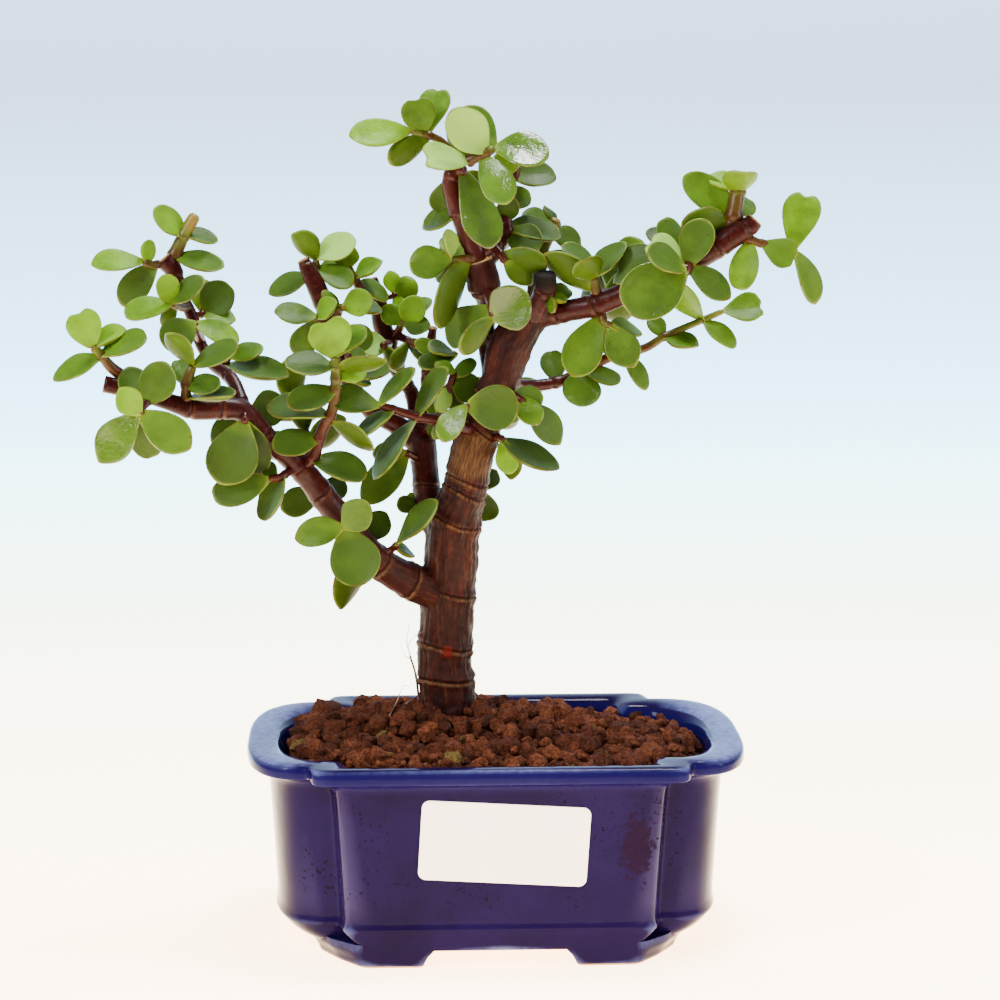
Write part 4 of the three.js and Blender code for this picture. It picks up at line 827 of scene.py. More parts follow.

# the scars: a worn lip just below the line, and the dark line itself, partly the scar's own
# colour and partly painted shade in its groove
lip = add(tree, "MapRange", (scar_at, -1.3, -0.5))
inner = add(tree, "MapRange", (scar_at, 0.0, -0.35))
lip = add(tree, "Math", (lip, inner), operation="MULTIPLY")
patchy = add(tree, "MapRange", (flecks, 0.4, 0.62, 0.1, 0.9))
lip = add(tree, "Math", (lip, patchy), operation="MULTIPLY")
fainter = add(tree, "MapRange", (youth, 0.0, 1.0, 0.65, 0.25))
lip = add(tree, "Math", (lip, fainter), operation="MULTIPLY")
near = add(tree, "Math", (scar_at, 0.15), operation="SUBTRACT")
near = add(tree, "Math", (near,), operation="ABSOLUTE")
# painted shade in the ring groove, over the scar's own dark line
scar_line_and_shade = add(tree, "MapRange", (near, 0.1, 0.4, 0.8, 0.0))
fainter = add(tree, "MapRange", (youth, 0.0, 1.0, 1.0, 0.45))
scar_line_and_shade = add(tree, "Math", (scar_line_and_shade, fainter), operation="MULTIPLY")
bud = add(tree, "MapRange", (bud, 0.25, 0.6))
for share, colour in ((red, "#200604"), (lip, "#6A4A2A"), (scar_line_and_shade, "#120403"), (bud, "#4C0E06"),
                      (char, "#0B0706"), (cut, "#9A7648")):
    body = add(tree, "Mix", {0: share, 6: body, 7: linear(colour)}, 2, data_type="RGBA")
rough = add(tree, "MapRange", (youth, 0.0, 1.0, 0.5, 0.36))
rough = add(tree, "Math", (char, 0.5, rough), operation="MULTIPLY_ADD")
deep = add(tree, "MapRange", (near, 0.1, 0.6, -1.2, 0.0))
shallower = add(tree, "MapRange", (youth, 0.0, 1.0, 1.0, 0.5))
deep = add(tree, "Math", (deep, shallower), operation="MULTIPLY")
height = add(tree, "Math", (ridges, flecks), operation="ADD")
smoother = add(tree, "MapRange", (youth, 0.0, 1.0, 1.3, 0.15))
height = add(tree, "Math", (height, smoother), operation="MULTIPLY")
height = add(tree, "Math", (height, deep), operation="ADD")
relief = add(tree, "Bump", {"Height": height, "Strength": 0.85, "Distance": 0.0004})
feed(shader, {"Base Color": body, "Roughness": rough, "Specular IOR Level": 0.1, "Normal": relief})
coat(wood, bark)
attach(wood, "root")
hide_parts("trunk_and_branches")

# ---------- aerial roots ----------
# Hair-thin dead roots that the foot of the trunk put out in damp air, dry and brittle, and straws
# of the same kind that lie on the soil.

HAIRS = [
    # thickness in mm, course as x, y, z; the last three are the straws
    (0.9, [(-23.0, 7, 70), (-24.0, 7, 77), (-25.0, 6, 81.5), (-25.8, 6, 84.3)]),
    (0.34, [(-25.8, 6, 84.3), (-26.6, 6, 88), (-26.7, 6, 90.2), (-26.2, 6, 93.4), (-26.5, 6, 94.6)]),
    (0.26, [(-26.4, 6, 87.2), (-25.5, 5, 89.4), (-24.0, 4, 91.2), (-21.0, 2, 93.0)]),
    (0.24, [(-25.9, 6, 83.4), (-27.4, 6, 84.2), (-28.1, 6, 86.2), (-28.6, 6, 87.8)]),
    (0.5, [(-22.0, 6, 78), (-23.5, 5, 78.6), (-24.6, 5, 77.4)]),
    (0.34, [(-32.6, 1, 66.2), (-30.0, 3, 70.6), (-27.6, 5, 75.0), (-26.1, 5, 74.2)]),
    (0.32, [(-27.4, 0, 70.2), (-25.8, 1, 71.3), (-23.6, 2, 72.4)]),
    (0.4, [(-47.6, 0, 60.6), (-45.4, 0, 60.2), (-43.0, -1, 58.8)]),
    (0.3, [(-14.4, -8, 66.4), (-13.8, -9, 64.8), (-14.6, -10, 64.2)]),
    (0.3, [(-4.8, -3, 66.6), (-6.4, -4, 65.4), (-7.2, -6, 65.6)]),
]
strands = []
for number, (thickness, course) in enumerate(HAIRS):
    draw = random.Random(700 + number)
    wavy = [(x + draw.uniform(-0.15, 0.15), y, z + draw.uniform(-0.15, 0.15), thickness)
            for x, y, z in course]
    line = smooth_line(wavy, 0.7)
    taper = np.linspace(0.5, 0.24 if number else 0.36, len(line)) * thickness
    strands.append(tube_grid("aerial_roots", sweep_rings(line, taper, 5)))
hairs = settle(joined(strands))

# Dead root: matt fibre, in bands of dark brown, brown and straw.
root_fibre, tree, shader = material("dead_root_fibre_matt")
where = add(tree, "TexCoord", out="Object")
bands = add(tree, "TexNoise", {"Vector": where, "Scale": 130.0, "Detail": 3.0})
banded = add(tree, "ValToRGB", (bands,), stops=[(0.42, "#20120C"), (0.52, "#5A4236"), (0.62, "#8E7464")])
feed(shader, {"Base Color": banded, "Roughness": 0.8})
coat(hairs, root_fibre)
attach(hairs, "root")

# ---------- leafy shoots ----------
# Jointed young stems with fleshy leaves in crossed pairs, two at each ringed node. Each stem
# grows out of the wood and holds its leaves by short tapered bases; each shoot is one plant part.

# For each shoot: a letter for its stem's colour, the stem's thickness at foot and tip, its course,
# and its leaves. A leaf's row is a letter for its colour, its root, its tip, the way its upper face
# looks, its width, how far it bows back and how far its sides fold up. The letters: y youngest,
# b bright, m middle, d dark (partly the leaf's own colour and partly painted shade for leaves that
# lie in shade), p pale with bloom, g glossy and wet, o olive underside towards the eye.
SHOOTS = {
    "shoot_apex_stem": ("r", 7.9, 4.6, [(-5, 0, 207), (-8, -1, 216), (-12, -2, 226), (-13, -2, 232),
                                        (-9, -3, 236)], [
        "g -10.1 -2.7 234.9 -2.1 -10.7 211.9 0.47 -0.77 0.43 14.9 0.03 0.03",
        "m -12.4 -2.2 232.6 -16.4 2.8 220.6 -0.2 -0.93 -0.32 9 0.09 0.19",
        "o -10.4 -1.6 222.1 -21.5 4.3 217.7 -0.53 -0.48 0.7 10.7 0.06 0.2",
    ]),
    "shoot_apex_left": ("o", 3, 2.1, [(-11, -2, 237), (-16, -2, 243), (-20, -3, 245), (-25, -4, 246)], [
        "y -25 -4 246 -43 -8 245 0.14 -0.79 0.6 10.7 0.03 0.06",
        "bn -21.6 -3.3 245.3 -23.6 -6.3 256.3 0.07 -0.97 -0.25 11 0.06 0.07",
        "bn -19.9 -3 245 -16.9 3 260 -0.28 -0.87 0.4 9.5 0.11 0.03",
        "m -19.2 -2.8 244.6 -32.2 -4.8 237.6 -0.29 0.92 0.27 8.6 0.11 0.12",
    ]),
    "shoot_apex_crown": ("o", 3.4, 2.7, [(-8, -2, 237), (-4, -4, 239), (0, -4, 241)], [
        "pn -7.2 -2.4 237.4 -22.1 -13.1 238.9 0.51 -0.62 0.59 10.6 0.03 0.09",
        "p -2.1 -4 240 -14.1 -12 252 0.44 -0.88 -0.15 12.5 0.04 0.17",
        "b 0 -4 241 -9 3 253 0.12 -0.82 0.57 11.2 0.06 0.07",
        "g 0 -4 241 16 -8 240 -0.14 -0.72 0.68 13.2 0.11 0.05",
        "g -3.8 -4 239.1 3.2 -13 225.1 -0.12 -0.86 0.49 11 0.06 0.07",
        "m -7.6 -2.2 237.2 -13.6 3.8 247.2 0.59 0.79 -0.12 7.6 0.04 0.22",
    ]),
    "shoot_second_leader": ("r", 4.6, 1.8, [(2, 4, 212), (4, 4, 216), (3, 5, 224), (6, 6, 231),
                                            (8, 7, 235)], [
        "m 6.4 6.2 231.7 19.4 8.2 232.7 0.07 -0.76 0.65 10.6 0.03 0.12",
        "y 6.9 6.5 232.8 7.9 12.5 239.8 0.64 -0.63 0.45 7.4 0.11 0.05",
        "b 6.4 6.2 231.7 1.4 4.2 239.7 0.23 -0.97 -0.1 7.5 0.12 0.12",
        "m 3.2 4.8 222.6 11.2 10.8 227.6 0.32 -0.82 0.47 7.5 0.11 0.2",
        "d 3.6 4.4 218.9 5.6 -0.6 225.9 -0.25 -0.82 -0.51 7 0.13 0.06",
        "m 3.9 4.1 216.5 20.9 7.1 215.5 0.14 -0.48 0.87 13.8 0.08 0.11",
        "m 3.7 4 215.3 14.1 -2.6 211 -0.36 -0.84 0.41 10 0.09 0.12",
    ]),
    "shoot_apex_left_low": ("o", 2.7, 2.1, [(-6, -3, 208), (-10, -5, 208), (-13, -6, 208)], [
        "g -13 -6 208 -26 -9 206 0.18 -0.95 0.27 10 0.03 0.15",
        "p -13 -6 208 -14 -8 217 0.86 -0.51 -0.02 7.4 0.09 0.15",
        "m -9.4 -4.7 208 -18.4 1.3 202 -0.64 -0.73 0.24 7.2 0.07 0.17",
        "p -9.4 -4.7 208 -15.4 1.3 215 0.01 -0.75 0.66 6.4 0.12 0.13",
        "o -7.4 -3.7 208 -19 -12.1 188.7 -0.75 0.64 0.17 13.9 0.09 0.05",
    ]),
    "shoot_leader_front": ("r", 4, 2.4, [(-2, -3, 198), (-1, -9, 195), (-1, -12, 191)], [
        "g -1 -12 191 9.5 -16 198 -0.32 -0.94 -0.06 15 0.03 0.18",
        "o -1 -12 191 -11 -17 181 -0.56 0.81 0.15 8.7 0.06 0.03",
        "m -1 -9.7 194 -16 0.3 184 -0.66 -0.7 0.29 12 0.12 0.22",
    ]),
    "shoot_leader_right": ("r", 3, 2.4, [(-3, -1, 209), (0, -3, 211), (2, -6, 209), (3, -7, 207)], [
        "o 1.7 -5.6 209.3 16.3 -7.7 205.9 0.21 0.92 0.34 8.8 0.03 0.21",
        "m 2.9 -6.9 207.3 10.9 -3.9 200.3 -0.01 0.92 0.38 7.1 0.04 0.14",
    ]),
    "shoot_back_right_stub": ("t", 3.7, 3.7, [(12, 11, 194), (14, 14, 206), (16, 15, 210), (20, 16, 219)], [
        "m 19.5 15.9 217.8 9.5 9.9 219.8 0.46 -0.53 0.71 9.5 0.03 0.02",
        "d 19.5 15.9 217.8 16.5 17.9 222.8 0.63 -0.52 0.58 4.9 0.11 0.02",
        "m 17.8 15.5 214.1 27.8 18.5 211.1 0.39 -0.75 0.54 8.7 0.03 0.09",
        "m 15 14.5 208 24 10.5 205 -0.08 -0.7 0.71 8.2 0.03 0.14",
    ]),
    "shoot_right_upright": ("o", 3.3, 2.7, [(31, -6, 196), (30, -7, 201), (30, -7, 203)], [
        "m 30 -7 202 26 -16 209 -0.32 0.67 0.67 9.7 0.03 0.05",
        "m 30 -7 203 39 -5 213 -0.59 -0.51 0.63 10.9 0.09 0.12",
        "m 30 -7 203 21 -4 213 0.57 -0.49 0.66 11 0.08 0.14",
        "m 30.5 -6.5 198.4 15.3 -7.4 209.9 0.34 0.79 0.51 11.5 0.04 0.07",
    ]),
    "shoot_right_fork": ("o", 2.4, 2.1, [(17, -4, 192), (16, -9, 197)], [
        "d 16.1 -8.7 196.7 17.4 -13.1 192.7 -0.86 -0.46 0.23 4.1 0.03 0.07",
        "m 16.1 -8.7 196.7 21.8 -6.9 196.1 0.26 -0.61 0.75 4.2 0.07 0.22",
        "m 16.2 -7.9 195.9 23.1 -1.4 198.8 0.36 -0.66 0.66 5.8 0.04 0.19",
    ]),
    "shoot_right_hanging": ("o", 3, 2.1, [(32, -5, 193), (33, -7, 189), (35, -8, 188)], [
        "b 32.5 -5.9 191.2 23 -9.9 173.2 -0.03 -0.97 0.23 12 0.03 0.1",
        "m 34.5 -7.7 188.3 41.5 -10.7 176.3 0 -0.97 0.24 10.5 0.04 0.1",
        "m 34.8 -7.9 188.1 44.8 -2.9 186.1 0.39 -0.47 0.79 9.1 0.09 0.02",
        "d 32.9 -6.7 189.6 32.9 -0.7 183.6 0 -0.71 -0.71 4.9 0.05 0.15",
    ]),
    "shoot_right_middle": ("r", 3.3, 2.4, [(58, -12, 207), (57, -17, 206), (56, -21, 206)], [
        "g 56 -21 206 37 -25 195 0.05 -0.96 0.27 17.6 0.03 0.13",
        "mn 57.3 -15.6 206.3 34.3 -7.6 206.3 -0.23 -0.65 0.73 16.4 0.12 0.2",
        "m 57.2 -16 206.2 69.2 -18 197.2 0.27 -0.79 0.54 9.8 0.04 0.07",
        "pn 57.3 -15.6 206.3 45.3 -13.6 214.3 0.25 -0.78 0.57 10.5 0.05 0.08",
        "m 56.2 -20.1 206 44.2 -26.3 211.3 0.56 -0.58 0.6 11.6 0.07 0.17",
        "m 57.3 -15.6 206.3 62.3 -15.6 220.3 -0.08 -1 0.03 10.5 0.09 0.14",
    ]),
    "shoot_right_behind": ("o", 2.4, 2.1, [(58, -8, 207), (58, 0, 209), (57, 4, 211)], [
        "m 57.3 2.8 210.4 51.3 5.8 219.4 -0.03 -0.95 0.3 8 0.03 0.16",
        "d 57.3 3 210.5 47.3 8 216.5 0.1 -0.67 0.73 7.4 0.09 0.08",
        "d 57.7 1.2 209.6 62.7 6.2 218.6 0.1 -0.89 0.44 7.5 0.1 0.12",
    ]),
    "shoot_right_top": ("o", 5.4, 4.5, [(71, -9, 217), (72, -9, 224), (73, -8, 229), (74, -7, 234)], [
        "b 71.5 -9 220.5 56.5 -7 232.5 0.11 -0.95 0.3 11.2 0.03 0.19",
        "m 71.2 -9 218.7 54.8 -11.9 218.4 -0.17 0.91 0.37 10.2 0.07 0.18",
        "y 72.8 -8.2 228.1 64.8 -5.2 233.1 0.22 -0.64 0.74 7.9 0.05 0.16",
        "y 72.8 -8.2 228.1 72.8 -18.2 235.1 0 0.57 0.82 11 0.06 0.16",
        "m 71.6 -9 221.3 77.6 0 226.3 0.41 -0.64 0.65 9 0.11 0.14",
        "b 71.5 -9 220.5 62.5 0 222.5 -0.3 -0.48 0.83 7.5 0.06 0.15",
    ]),
    "shoot_right_tip": ("o", 3, 1.8, [(74, -11, 215), (79, -11, 213), (86, -10, 212), (90, -9, 210)], [
        "bn 79.8 -10.9 212.9 89.8 -14.9 207.9 -0.19 -0.92 0.35 9 0.03 0.22",
        "yn 89.3 -9.2 210.4 94.3 -5.2 228.4 -0.1 -0.97 0.24 11.1 0.04 0.06",
        "b 90 -9 210 98 -8 195 0.59 -0.76 0.26 9.9 0.1 0.21",
        "b 76.4 -11 214 72.4 -15 199 -0.22 -0.93 0.31 9.3 0.07 0.09",
    ]),
    "shoot_low_right": ("m", 4.3, 1.9, [(5, 3, 170), (10, 9, 168), (21, 12, 169), (36, 14, 176),
                                        (48, 16, 179), (53, 16, 182), (65, 18, 187), (72, 18, 190)], [
        "g 28.5 13 172.5 26.5 5 161.5 0.07 -0.81 0.58 12 0.03 0.03",
        "m 28.5 13 172.5 39.5 9 169.5 -0.05 -0.69 0.72 7.3 0.12 0.16",
        "m 41 14.8 177.3 48 11.8 166.3 0.5 -0.7 0.51 7.8 0.06 0.04",
        "m 38.1 14.4 176.5 33.1 20.4 181.5 0.11 -0.58 0.81 5.4 0.07 0.02",
        "b 53.4 16.1 182.2 63.4 11.1 180.2 0 -0.37 0.93 9.1 0.04 0.11",
        "m 53.4 16.1 182.2 49.4 20.1 188.2 -0.15 -0.87 0.48 5.5 0.04 0.16",
        "y 65.8 18 187.3 56.8 15 198.3 -0.57 -0.55 -0.61 11.6 0.09 0.21",
        "bn 72 18 190 85 18 191.5 -0.07 -0.78 0.63 10.5 0.04 0.2",
        "b 65.8 18 187.3 75.8 14 179.3 0.29 -0.66 0.69 7.8 0.05 0.19",
        "m 19.6 11.6 168.9 18.6 18.6 177.9 -0.04 -0.79 0.61 8 0.04 0.15",
    ]),
    "shoot_trunk_right": ("r", 3, 2.1, [(4, -3, 167), (7, -6, 166), (9, -7, 165)], [
        "m 4.9 -3.9 166.7 14.9 -5.9 164.7 -0.14 -0.95 0.27 8 0.03 0.06",
        "m 8.7 -6.9 165.1 20.4 -6.1 152.6 0.42 -0.84 0.34 9.9 0.1 0.04",
        "g 5.9 -4.9 166.4 12.9 -12.1 159.5 -0.01 -0.69 0.72 8.6 0.11 0.09",
    ]),
    "shoot_trunk_right_low": ("r", 3, 2.1, [(-1, -3, 153), (1, -6, 154), (3, -7, 153)], [
        "o 1 -6 154 19 -9 144 0.37 -0.46 0.81 13.1 0.03 0.09",
        "b 2.3 -6.7 153.3 4.6 -8.9 143.3 0.01 -0.97 0.22 7 0.07 0.15",
        "d 2.5 -6.8 153.2 5.5 -0.8 141.2 0.52 0.7 0.48 8 0.06 0.14",
    ]),
    "shoot_trunk_back_low": ("r", 2.8, 2.2, [(-5, 6, 137), (-3, 9, 135)], [
        "d -3.2 8.7 135.2 -1.2 12.7 125.2 0.13 -0.93 -0.35 8 0.03 0.11",
        "d -3.7 8 135.7 1.3 15.9 140.7 0.36 -0.65 0.67 7 0.05 0.03",
    ]),
    "shoot_trunk_front": ("r", 2.7, 2.1, [(-3, -4, 161), (-5, -9, 162), (-7, -13, 163), (-9, -15, 165)], [
        "m -8.8 -14.8 164.8 6.7 -16.8 164.8 -0.13 -0.98 0.15 14 0.03 0.14",
        "g -9 -15 165 -17 -18 155 -0.25 -0.86 0.45 8.2 0.12 0.13",
    ]),
    "shoot_red_side": ("r", 3.9, 2.4, [(-7, -4, 156), (-10, -8, 157), (-16, -10, 160), (-23, -12, 161),
                                       (-29, -13, 163), (-35, -14, 165)], [
        "m -23.5 -12.1 161.2 -15 -14.1 176.2 -0.8 -0.45 0.39 11.5 0.03 0.17",
        "o -23.5 -12.1 161.2 -38.5 -15.1 144.2 -0.68 -0.32 0.66 13.3 0.1 0.01",
        "m -35 -14 165 -26 -17 177 -0.76 -0.47 0.45 8.9 0.12 0.06",
        "o -35 -14 165 -49 -18 168 0.33 -0.65 0.68 11.5 0.09 0.1",
        "o -31.1 -13.3 163.7 -41.1 -18.3 156.7 -0.42 -0.33 0.84 10.6 0.08 0.04",
        "p -15.3 -9.8 159.7 -18.3 -6.8 153.7 0.03 0.9 0.43 4.6 0.03 0.07",
    ]),
    "shoot_front_upright": ("m", 3.6, 3.3, [(-57, -13, 147), (-55, -15, 149), (-52, -16, 158),
                                            (-49, -17, 164), (-48, -18, 172), (-48, -18, 180)], [
        "yn -48 -18 180 -51 -22 192 0.11 -0.95 -0.29 14 0.03 0.2",
        "b -48 -18 180 -40 -13 189 -0.36 -0.64 0.68 10.4 0.07 0.11",
        "m -48 -18 176.8 -63 -22 178.8 0.23 -0.41 0.88 12.5 0.08 0.11",
        "m -48 -18 176.8 -33 -20 179.8 -0.07 0.62 0.78 8.9 0.1 0.03",
        "b -48 -18 173.5 -39 -12 175.5 0.36 -0.73 0.58 6.4 0.05 0.02",
        "m -48.2 -17.8 170.3 -62.2 -23.8 166.3 0.08 -0.68 0.73 10.3 0.07 0.19",
        "m -49.8 -16.7 162.4 -67.8 -13.7 166.4 0.13 -0.4 0.91 14.9 0.08 0.04",
        "m -52.9 -15.7 155.2 -66.6 -22.1 153.8 0.21 -0.63 0.75 10.4 0.08 0.02",
        "m -55 -15 149.1 -39 -20 144.1 0.13 -0.46 0.88 14 0.05 0.2",
        "o -50.4 -16.5 161.1 -35.9 -17.3 152.6 0.43 0.59 0.68 9.8 0.07 0.02",
    ]),
    "shoot_left_small": ("r", 2.7, 2.4, [(-61, -14, 146), (-65, -19, 144), (-68, -21, 144)], [
        "m -68 -21 144 -85 -24 139 0.03 -0.9 0.44 10.4 0.03 0.01",
        "m -63.5 -17.2 144.7 -69.5 -21.2 130.7 -0.74 -0.49 0.46 12.6 0.05 0.21",
        "m -65.9 -19.6 144 -69.9 -13.6 148 -0.35 -0.67 0.65 5 0.13 0.16",
    ]),
    "shoot_left_behind": ("r", 2.4, 2.5, [(-53, -7, 137), (-54, -2, 138), (-53, 3, 135)], [
        "d -53 3 135 -65 6 131 -0.29 -0.94 0.16 9 0.03 0.04",
        "d -53 3 135 -45 8 139 0.32 -0.85 0.42 7.5 0.12 0.09",
    ]),
    "shoot_kink": ("r", 2.7, 2.1, [(-75, -20, 163), (-75, -23, 161)], [
        "m -75 -22.2 161.5 -82 -26.2 143.5 -0.01 -0.98 0.22 15.5 0.03 0.07",
        "d -75 -21.9 161.7 -70 -17.9 144.7 0.18 -0.97 -0.17 10.5 0.1 0.19",
    ]),
    "shoot_kink_back": ("r", 2.7, 2.1, [(-74, -15, 161), (-74, -12, 162), (-73, -7, 163)], [
        "m -73.3 -8.3 162.7 -63.3 -6.3 164.7 0.16 -0.97 0.18 11 0.03 0.1",
        "d -73.3 -8.3 162.7 -86.3 -4.3 153.7 -0.52 -0.75 0.42 9.5 0.08 0.07",
    ]),
    "shoot_low_left_round": ("r", 2.7, 2.4, [(-45, -10, 129), (-44, -14, 128), (-46, -20, 129)], [
        "m -46 -20 129 -38 -26 137 -0.48 -0.86 -0.17 10 0.03 0.13",
        "m -46 -20 129 -60 -21 126 0.02 -0.97 0.25 9.5 0.05 0.17",
        "m -45.8 -19.4 128.9 -40.8 -24.4 111.9 -0.04 -0.96 0.27 15 0.04 0.13",
    ]),
    "shoot_low_left_back": ("r", 2.4, 2.1, [(-41, -2, 123), (-40, 3, 121)], [
        "d -40.1 2.5 121.2 -33.1 5.5 129.2 0.06 -0.95 0.31 8.5 0.03 0.16",
        "d -40 3 121 -48 9 100 -0.69 0.58 0.43 13.5 0.13 0.05",
    ]),
    "shoot_left_joint": ("r", 2.4, 2.1, [(-34, -4, 118), (-31, -5, 120), (-30, -9, 122)], [
        "m -30 -9 122 -17 -11 135 -0.67 -0.42 0.61 10.7 0.03 0.18",
        "d -30.7 -6 120.5 -24.7 2 117.5 0.68 -0.25 0.69 6.1 0.1 0.16",
    ]),
    "shoot_second_trunk_left": ("r", 2.8, 2.2, [(-23, 13, 145), (-26, 9, 147), (-27, 7, 148)], [
        "m -26.4 8.3 147.4 -39.4 8.3 132.4 -0.29 -0.92 0.25 11.5 0.03 0.21",
        "d -27 7 148 -37 11 147 -0.38 -0.9 0.22 7 0.08 0.04",
    ]),
    "shoot_second_trunk_low": ("r", 2.8, 2.2, [(-21, 12, 130), (-23, 12, 130)], [
        "d -22.8 12 130 -29.8 10 132 0.31 -0.93 0.17 5.5 0.03 0.02",
        "m -22.5 12 130 -26.4 15 133.8 -0.09 -0.82 0.56 4.2 0.05 0.14",
    ]),
    "shoot_between_trunks": ("r", 3.1, 2.1, [(-21, 16, 153), (-16, 6, 160), (-14, 3, 167), (-12, 2, 173)], [
        "d -12.9 2.4 170.4 -11.9 7.4 161.4 0.07 -0.88 -0.48 9 0.03 0.05",
        "p -13.7 2.9 167.9 -16.7 -2.1 161.9 0.75 -0.64 0.15 6.7 0.13 0.02",
        "m -16.8 7.7 158.8 -15.8 9.7 168.8 0.87 -0.5 0.01 7.1 0.11 0.15",
        "m -17.9 9.8 157.4 -18.9 11.8 166.4 0 -0.98 0.22 5.5 0.05 0.2",
        "d -16.8 7.7 158.8 -18.8 11.7 150.8 -0.47 -0.83 -0.3 5.3 0.13 0.1",
        "d -12.4 2.2 171.7 -5.4 5.2 176.7 -0.01 -0.85 0.53 5.3 0.05 0.01",
        "m -12 2 173 -18 0 176 0.5 -0.65 0.57 5.1 0.12 0.12",
        "d -12.9 2.4 170.4 -3.9 4.4 166.4 0.24 -0.97 0.05 9 0.03 0.09",
    ]),
    "shoot_mid_right_high": ("m", 3.1, 2.2, [(-30, 27, 181), (-28, 25, 185), (-27, 24, 187)], [
        "b -27.3 24.3 186.4 -33.6 25.2 190.9 -0.02 -0.99 0.17 7 0.03 0.08",
        "b -27 24 187 -22 21 194 -0.27 -0.94 -0.21 9 0.1 0.12",
        "m -27.1 24.1 186.7 -19.1 21.1 184.7 -0.16 -0.81 0.57 7 0.06 0.2",
        "m -27.1 24.1 186.7 -19.1 30.1 193.7 -0.27 -0.56 0.79 8.9 0.05 0.13",
    ]),
    "shoot_mid_right_low": ("m", 2.8, 1.8, [(-29, 27, 182), (-26, 22, 181), (-25, 16, 181),
                                            (-22, 11, 180), (-16, 8, 179), (-11, 7, 178)], [
        "m -26 21.9 181 -17.9 19.9 174.3 0.37 -0.67 0.65 8.6 0.03 0.11",
        "o -25.5 19 181 -31.5 15 173 -0.67 0.73 0.14 6.2 0.08 0",
        "m -16.7 8.3 179.1 -23.7 6.3 182.1 0.32 -0.94 0.12 5 0.12 0.03",
        "d -11.9 7.2 178.2 -19.9 3.2 181.2 0.49 -0.42 0.76 7.5 0.06 0.06",
        "d -11 7 178 -23.2 3.1 175.5 0.04 -0.61 0.79 7.6 0.06 0.07",
    ]),
    "shoot_mid_side_top": ("r", 2.2, 1.6, [(-34, 28, 194), (-31, 28, 194), (-29, 28, 195)], [
        "y -29.4 28 194.8 -31.4 30 201.8 -0.01 -0.96 0.27 5.5 0.03 0.14",
        "b -29.8 28 194.6 -22.8 28 198.6 0.06 0.99 -0.11 7.5 0.06 0.1",
        "y -29.6 28 194.7 -26.5 25 188.2 -0.07 -0.92 0.39 5 0.07 0.07",
    ]),
    "shoot_mid_pale": ("r", 2.5, 2.2, [(-32, 27, 180), (-32, 20, 180), (-34, 15, 180)], [
        "p -32 19.9 180 -42 14.9 180 0.36 -0.72 0.59 8.9 0.03 0.17",
        "m -33.1 17.3 180 -28.1 19.3 171 0.36 0.85 0.39 6.1 0.03 0.2",
    ]),
    "shoot_mid_left_top": ("o", 3.4, 2.2, [(-55, 11, 202), (-55, 14, 202), (-54, 13, 204),
                                           (-54, 13, 207)], [
        "b -54 13 207 -60 10 216 0.26 0.85 0.46 9 0.03 0.2",
        "p -54 13 207 -42 15 214 -0.22 -0.77 0.6 10 0.11 0.08",
        "m -54 13 204.3 -42.8 9 199.3 0.04 -0.73 0.68 9 0.08 0.17",
        "m -55 14 202 -69 14 197 -0.25 -0.65 0.71 8.6 0.07 0.07",
    ]),
    "shoot_mid_left_second": ("m", 3.8, 2.2, [(-37, 27, 198), (-40, 21, 197), (-42, 20, 200),
                                              (-44, 19, 204)], [
        "b -44 19 204 -45 17 211 0.06 -0.96 -0.27 8 0.03 0",
        "b -42.2 19.9 200.3 -34.2 19.9 206.3 -0.51 -0.53 0.68 8 0.08 0.18",
        "m -43.8 19.1 203.6 -52.8 21.1 204.6 -0.01 -0.47 0.88 7.4 0.13 0.22",
        "m -41.1 20.4 198.7 -31.2 24.6 194.8 0.5 -0.54 0.68 9.2 0.07 0",
    ]),
    "shoot_mid_left_middle": ("m", 3.4, 2.2, [(-48, 10, 189), (-47, 7, 192), (-45, 5, 193)], [
        "b -45.7 5.7 192.6 -36.7 2.7 195.6 -0.33 -0.94 0.05 8.5 0.03 0.03",
        "m -45.7 5.7 192.6 -33.7 9.7 192.6 0.15 -0.44 0.89 10.1 0.06 0.06",
        "m -47.3 8 191 -51.6 5.9 197.8 0.7 -0.68 0.23 5.7 0.08 0.05",
    ]),
    "shoot_mid_left_front": ("m", 3.1, 2.2, [(-51, 11, 188), (-53, 7, 189), (-54, 5, 190)], [
        "m -54 5 190 -66 2 192 0.28 -0.67 0.69 8.9 0.03 0.06",
        "b -53.7 5.6 189.7 -47.7 0.6 194.7 -0.72 -0.66 0.21 7 0.03 0.17",
        "m -53 7 189 -61 11 178 -0.29 -0.95 -0.13 8.5 0.04 0.1",
    ]),
    "shoot_mid_left_low": ("r", 3.1, 2.5, [(-43, 11, 170), (-44, 6, 175), (-44, 4, 179)], [
        "m -44 4 179 -38.5 8 186.5 0.16 -0.91 0.37 9 0.03 0.09",
        "m -44 4.3 178.5 -39 1.3 177.5 -0.46 -0.85 0.26 5.5 0.11 0.05",
        "m -43.2 9.8 171.2 -32.2 3.8 174.2 -0.4 -0.3 0.87 10.3 0.09 0.14",
        "m -43.1 10.5 170.5 -37.8 4 169.4 0.06 -0.11 0.99 4.9 0.09 0.01",
    ]),
    "shoot_left_top_cut": ("t", 4.3, 3.7, [(-97, 6, 208), (-95, 6, 212), (-93, 6, 216), (-90, 6, 221)], [
        "b -93.7 6 214.6 -102.7 3 222.6 0.61 -0.65 0.44 9.9 0.03 0.12",
        "m -93.7 6 214.6 -83.7 9 213.6 0.22 -0.45 0.87 8.4 0.08 0.15",
        "m -96.7 6 208.7 -81.7 1 204.7 0.01 -0.6 0.8 9.5 0.04 0.19",
    ]),
    "shoot_left_top_side": ("o", 2.8, 2.1, [(-101, 5, 206), (-103, 3, 206), (-106, 2, 207)], [
        "b -105.7 2.1 206.9 -120.7 -0.9 206.9 0.13 -0.67 0.73 8.9 0.03 0.15",
        "y -104.7 2.4 206.6 -103.7 3.4 213.6 0.61 -0.79 0.03 5.7 0.06 0.03",
